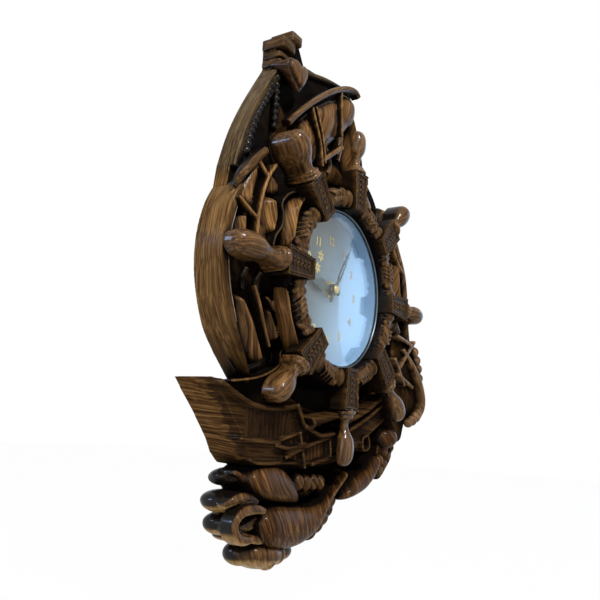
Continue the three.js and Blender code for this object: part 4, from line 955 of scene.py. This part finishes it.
pillow(mainsail, [(-118, -26), (-107, -26.5), (-97, -32), (-90, -41), (-84, -54), (-83.5, -63), (-88, -69),
                  (-100, -63), (-110, -49), (-116, -37)], shoulder=15, crown=27.5,
       spine=[(-112, -31), (-100, -46), (-88, -65)], swell=1.25)
pillow(mainsail, [(-86, -31), (-78.6, -31), (-69.6, -36), (-67, -44), (-69.5, -50), (-78, -52), (-84, -43)],
       shoulder=18, crown=28, spine=[(-83, -34), (-73, -49)], swell=1.3)
pillow(mainsail, [(-82.5, -15), (-79.5, -21), (-76.5, -27), (-73, -35), (-67, -45), (-62, -57),
                  (-66.5, -54), (-72.5, -46.5), (-78, -36), (-81.5, -26)], floor=28, shoulder=31,
       crown=40.5, spine=[(-81.5, -19), (-75.5, -36), (-64.5, -54)], swell=1.5)
ridge(mainsail, [(-104, -19, .9), (-97.6, -29), (-90, -44), (-83, -57, .9)], half=1.4, top=29.5, floor=20)
ridge(mainsail, [(-89, -24, .7), (-83, -26), (-79, -32, .7)], half=1.2, top=28, floor=20)
pillow(mainsail, [(-123, -12), (-112, -8), (-105, -12), (-110, -21), (-120, -20)], shoulder=12.5,
       crown=15.5)
ridge(mainsail, [(-96, -4, 2), (-98, -12, 3.5), (-99, -20, 2)], top=16)
ridge(mainsail, [(-80, -4, 2), (-83, -12, 3.5), (-80, -20, 2)], top=16)
ridge(mainsail, [(-112, -82.5), (-86, -78), (-69, -72), (-59, -65), (-59, -57), (-49, -52), (-30, -49)],
      half=.9, top=22)
pillow(mainsail, [(-106, -66), (-92, -76), (-70, -71), (-61, -64), (-61, -56), (-68, -56), (-85, -66),
                  (-97, -68)], shoulder=13, crown=16)
carved(mainsail, "carved_mainsail",
       oak("lower_leaf_oak", turn=leaf_grain, low=.014, high=.024, pale=(.31, .17, .064, 1),
           brown=(.113, .0575, .021, 1), gloss=.06, coat=.04), ["mainsail"], grid=.7, ease=3)

# The sail on the far side of the wheel: hidden in the photograph, and carved like the near one with leaf
# folds and ropes behind a raised border. Stained oak, glued to the panel.
starboard = bmesh.new()
ridge(starboard, [(92, 97, 2.6, 18), (107, 78, 3, 25), (116.5, 59, 3, 28), (124, 42), (130, 24), (132.5, 6),
                  (137, -14), (141, -28)], half=3.3, top=30, floor=.3, steps=5)
for fold, fold_spine in (([(44, 112), (58, 106), (74, 95), (70, 84), (58, 88), (46, 100)],
                          [(54, 103), (68, 90)]),
                         ([(84, 96), (100, 84), (110, 62), (100, 54), (90, 66), (82, 82)],
                          [(92, 86), (101, 62)]),
                         ([(106, 52), (118, 36), (122, 14), (112, 8), (104, 26), (100, 44)],
                          [(109, 42), (114, 16)]),
                         ([(102, -8), (118, 0), (124, -14), (112, -24), (102, -20)],
                          [(108, -8), (116, -16)])):
    pillow(starboard, fold, shoulder=16, crown=20 if fold[0][0] < 50 else 31, spine=fold_spine, swell=1.6)
for rope in ([(96, 58), (108, 46), (121, 40)], [(100, 4), (112, 2), (127, 4)]):
    ridge(starboard, rope, half=2.2, top=32, floor=22)
carved(starboard, "carved_starboard_sail", sail_look, ["starboard_sail"])

# The hull: a planked side with a raking stern cut clean at the left, a rail, a gun, a rope and deck rails.
# Oak stained dark on its front, carved in one with its bars, with two runs of upright planks let in.
PLANK_PITCH = 5.2
PLANK_STERN = -106.8
SIDE_FRONT = 32
BAR_SCALE = .75
hull_look = oak("hull_oak", turn=(math.radians(86), 0, 0), stretch=(.05, 1, 1), wall=0, face=.77,
                **NO_STAIN, cover=.93, rub=.6, fore=.7, gloss=0)
hull = bmesh.new()
pillow(hull, [(-141, -82), (-110, -91), (-90, -97), (-53, -96), (-44, -108), (0, -110), (30, -101),
              (60, -89), (95, -76), (121, -67), (112, -84), (84, -97), (50, -118), (20, -130), (-10, -134),
              (-60, -135), (-95, -134), (-108, -119), (-124, -101)], floor=.3, shoulder=29,
       crown=SIDE_FRONT, steps=2, rings=3,
       spine=[(-120, -95), (-90, -114), (-40, -122), (10, -120), (60, -102), (100, -82)], swell=5)
for bar, bar_half, bar_top in (
        ([(-138, -84.5), (-121, -91), (-105, -96), (-87, -97.5), (-64, -96), (-53, -94)], 2.4, 36.5),
        ([(-114, -117.5, .3, 32.2), (-99, -118.5), (-77, -119), (-62, -115.5), (-43, -111)], 1.7, 35.5),
        ([(-100, -131, .3, 32.2), (-87, -133), (-64, -132), (-30, -132), (0, -128), (30, -121), (60, -108),
          (95, -90)], 2, 34),
        ([(-55, -93), (-49, -101), (-44, -110)], 2.1, 38.5),
        ([(-47, -107), (-38, -110), (-24, -113), (-7, -111)], 2.1, 41.5),
        ([(-67, -129), (-48, -123), (-29, -118), (-11, -114)], 1.8, 39),
        ([(-77, -120.5), (-60, -123), (-41, -119)], 2, 37),
        ([(-51, -111), (-47, -122), (-42, -136)], 1.4, 39),
        ([(-10, -113), (-7, -127)], 1.3, 38.5),
        ([(-31, -133), (-15, -130), (6, -127)], 2.3, 37),
        ([(4, -105), (27, -98), (50, -90), (71, -80), (95, -72)], 2.5, 39),
        ([(8, -112), (31, -104), (54, -95), (75, -85), (98, -77)], 2.1, 38),
        ([(42, -113), (51, -111), (54, -120), (44, -122), (42, -113)], 1.2, 38)):
    ridge(hull, bar, half=bar_half * BAR_SCALE, top=SIDE_FRONT + (bar_top - SIDE_FRONT) * BAR_SCALE,
          floor=20)
ridge(hull, [(-41, -105, 3.9), (-34, -103, 3.4), (-33, -102.8, 4), (-31, -102.3, 4), (-30, -102, 3.1),
             (-12, -98.5, 2.7), (-3, -97, 2.7), (-2, -96.8, 3.3), (1, -96.2, 3.3)], top=42, floor=24)
ridge(hull, [polar(98, angle) for angle in range(148, 220, 6)], half=3, top=20)
carved(hull, "carved_hull", hull_look, ["hull"], grid=.95, ease=1)
planks = bmesh.new()
gun_planks = bmesh.new()
for plank in range(19):
    plank_x = PLANK_STERN + PLANK_PITCH * plank
    strake, plank_head, plank_foot = (planks, -97, -118) if plank < 10 else (gun_planks, -111, -131)
    ridge(strake, [(plank_x, plank_head), (plank_x + 1, plank_foot)], half=2.35,
          top=32.5 + .35 * math.sin(plank * 2.3), floor=27, rise=.25)
carved(planks, "hull_planks", oak("plank_oak", wall=.4, face=.8, low=.022, high=.029, cover=.95, rub=.2,
                                  gloss=0), grid=.5, ease=1)
carved(gun_planks, "gun_planks", oak("gun_oak", wall=.3, face=.36, low=.02, high=.027, rub=.4, gloss=0,
                                     pale=(.25, .135, .058, 1), brown=(.105, .051, .021, 1)), grid=.5,
       ease=1)

# The sea: scrolling crests, round billows and two leaping dolphins in the old sea-chart manner.
# Oak with long slanting grain, carved and glued to the panel: ends black and polished, undersides bare.
wave_grain = slanted(24)
wave_look = oak("wave_oak", turn=wave_grain, wall=1, low=.017, high=.031, gloss=.03, coat=.05,
                pale=(.26, .137, .046, 1), brown=(.07, .032, .0105, 1), dark=(.019, .0088, .0036, 1))
roll_look = oak("roll_oak", turn=wave_grain, wall=1, low=.021, high=.034, under=.95, gloss=.05, coat=.12)
crest = bmesh.new()
pillow(crest, [(-99, -142), (-92, -135.5), (-79, -132.5), (-63, -134), (-50, -142), (-40, -153),
               (-40, -160), (-60, -159.5), (-79, -157), (-93, -151)], floor=6, shoulder=24, crown=37,
       spine=[(-86, -146), (-56, -152)])
lump(crest, -99, -142, 13, 11, 1.1, .5, -12)
lump(crest, -104, -141, 14, 7, 1.2, .55, -12)
ridge(crest, [(-108, -138.5, 1.4), (-101, -140.5), (-95, -145), (-89, -149, 1.4)], half=2.2, top=27,
      floor=16)
for knob_x, knob_z in ((-41, -145.5), (-31.5, -146.5), (-22, -146), (-13, -146.5)):
    lump(crest, knob_x, knob_z, 29, 5, 1.1, 1.25)
pillow(crest, [(-45, -150), (-29, -157), (-14, -156), (0, -150), (-8, -146), (-30, -146)], shoulder=22,
       crown=27)
carved(crest, "carved_wave_crest", wave_look, ["wave_crest"], grid=.8)
scrolls = bmesh.new()
for roll_x, roll_z, roll_depth, roll_wide, roll_squash, roll_long in (
        (-103, -156.5, 14, 14, .95, .5), (-108, -157, 15, 9, 1.3, .72), (-92, -157, 15, 12, 1.2, .5),
        (-99, -170, 13.5, 13, .95, .55), (-104, -170.5, 13, 8, 1.3, .85), (-90, -171, 15, 12, 1.2, .5),
        (-84, -163, 13.5, 14, .9, .6), (-92, -178, 12, 10, 1, .4)):
    lump(scrolls, roll_x, roll_z, roll_depth, roll_wide, roll_squash, roll_long)
ridge(scrolls, [(-115, -159, 2.2, 27), (-110, -155.5), (-102, -153.5), (-92, -154.5), (-86, -157, 1.8)],
      half=3, top=31, floor=20)
ridge(scrolls, [(-84, -162, 2), (-93, -160.5), (-104, -161.5), (-111, -165.5), (-113, -171), (-109, -176),
                (-103, -178.5), (-96, -178.5, 2)], half=3.2, top=36, floor=24)
lump(scrolls, -106, -172, 22, 5.5)
ridge(scrolls, [(-102, -172, 1.5), (-93, -170.5), (-84, -167, 1.5)], half=2.4, top=29, floor=16)
ridge(scrolls, [(-101, -176.5), (-92, -178.5), (-78, -181)], half=2.8, top=31, floor=16)
carved(scrolls, "carved_wave_scrolls", roll_look, ["wave_scrolls"], grid=.7)
dolphin = bmesh.new()
pillow(dolphin, [(-86, -170), (-80, -161.5), (-66, -158.5), (-46, -160), (-26, -161.5), (-10, -157),
                 (2, -148), (13, -139.5), (20, -137.5), (12, -147.5), (-1, -161), (-13, -177), (-29, -187),
                 (-50, -190), (-68, -188.5), (-81, -182)], floor=6, shoulder=24, crown=39,
       spine=[(-74, -174), (-50, -175), (-24, -172), (-5, -154), (14, -142)])
for scallop_x, scallop_z in ((16, -161), (12, -167.5), (6, -173), (-1, -177.5), (-10, -181.5)):
    lump(dolphin, scallop_x, scallop_z, 21, 4.4, 1.6, 1.6, 35)
    ridge(dolphin, [(scallop_x - 9, scallop_z + 9, 1.6), (scallop_x - 2, scallop_z + 1.5)], half=3, top=28,
          floor=6)
pillow(dolphin, [(-14, -180), (-2, -164), (12, -150), (18, -158), (9, -170), (-6, -181)], floor=6,
       shoulder=16, crown=20)
carved(dolphin, "carved_left_dolphin", wave_look, ["left_dolphin"], grid=.8)
far_dolphin = bmesh.new()
pillow(far_dolphin, [(22, -160), (30, -148), (48, -140), (61, -135), (70, -126), (78, -130), (74, -143),
                     (60, -153), (42, -158.5)], floor=.3, shoulder=25, crown=37,
       spine=[(34, -152), (52, -146), (66, -137), (72, -130)])
carved(far_dolphin, "carved_right_dolphin", wave_look, ["right_dolphin"])
far_crest = bmesh.new()
lump(far_crest, 93, -111, 26, 13, 1.15, .8)
for bump_x, bump_z in ((104, -119), (99, -126), (92, -133), (85, -139), (92, -123), (84, -130)):
    lump(far_crest, bump_x, bump_z, 27, 5.4, 1.2)
carved(far_crest, "carved_right_crest", wave_look, ["right_crest"])
base = bmesh.new()
lump(base, -68, -191, 17.5, 20, .85, .5, 6)
lump(base, -82, -190, 15, 11, 1, .72)
lump(base, -66, -193.5, 25, 6, 1.3, 1.3, 20)
lump(base, -56, -191.5, 24, 7, 1.2, 1.1, -15)
lump(base, -44, -191, 16, 13, .9, .62, 8)
carved(base, "carved_base_wave", oak("base_oak", turn=wave_grain, wall=.9, low=.016, high=.031, under=.95,
                                     gloss=.05, coat=.12), ["base_wave"], grid=.7)

# The bow: an anchor's curved arm, its thick cable, the stays that cross behind it and a dark wave mass
# behind them all. Carved oak, glued to the panel and the hull's end.
CABLE = [(137, -31), (145, -43), (149, -55), (150, -68)]
bow_look = oak("bow_oak", lean=32, wall=.5, low=.018, high=.034,
               pale=(.36, .225, .115, 1), brown=(.15, .088, .042, 1))
anchor = bmesh.new()
ridge(anchor, [(108, -32, 1.2, 38), (115, -39.5, 2.2, 42), (123.8, -49.3, 2.8, 45), (132, -58),
               (138.5, -66.5), (142, -75), (141.5, -83, 3.8, 45.5), (136, -90, 4.2, 44.5)], half=3.2,
      top=46, floor=35, steps=6)
for foot_x, foot_z, foot_size in ((134, -91, 5.2), (127, -94.5, 4.8), (119.5, -97, 4.2)):
    lump(anchor, foot_x, foot_z, 39.5, foot_size)
for foot_x, foot_z in ((118, -44), (134, -90)):
    lump(anchor, foot_x, foot_z, 27, 3.4, 4.2)
carved(anchor, "carved_anchor", bow_look, ["anchor"], grid=.8)
cable = bmesh.new()
ridge(cable, CABLE, half=3, top=36)
strung(cable, CABLE, 8.8, 5, 35)
carved(cable, "carved_anchor_cable", bow_look, ["anchor_cable"], grid=.8)
bow_mass = bmesh.new()
pillow(bow_mass, [(100, -20), (118, -26), (136, -44), (147, -64), (148, -84), (136, -95), (116, -90),
                  (104, -72), (98, -46)], shoulder=29, crown=37.5,
       spine=[(112, -34), (128, -58), (136, -80)])
pillow(bow_mass, [(102, -84), (122, -86), (134, -93), (131, -104), (126, -112), (110, -116), (105, -123),
                  (105.5, -131), (98, -138), (87, -146), (76, -142), (82, -124), (88, -102)], shoulder=28,
       crown=32)
carved(bow_mass, "carved_bow_mass", oak("bow_mass_oak", lean=32, face=.8, low=.014, high=.03, cover=.95,
                                        gloss=0, coat=0))
stays = bmesh.new()
for stay in ([(92, -23), (108, -25), (126, -28)], [(96, -56), (110, -60), (127, -65)],
             [(105, -33), (118, -41), (132, -51)], [(88, -43), (98, -53), (109, -65)],
             [(99, -50), (114, -36), (129, -23)]):
    ridge(stays, stay, half=1.7, top=41, floor=24)
carved(stays, "carved_bow_stays", bow_look, ["bow_stays"], grid=.7)
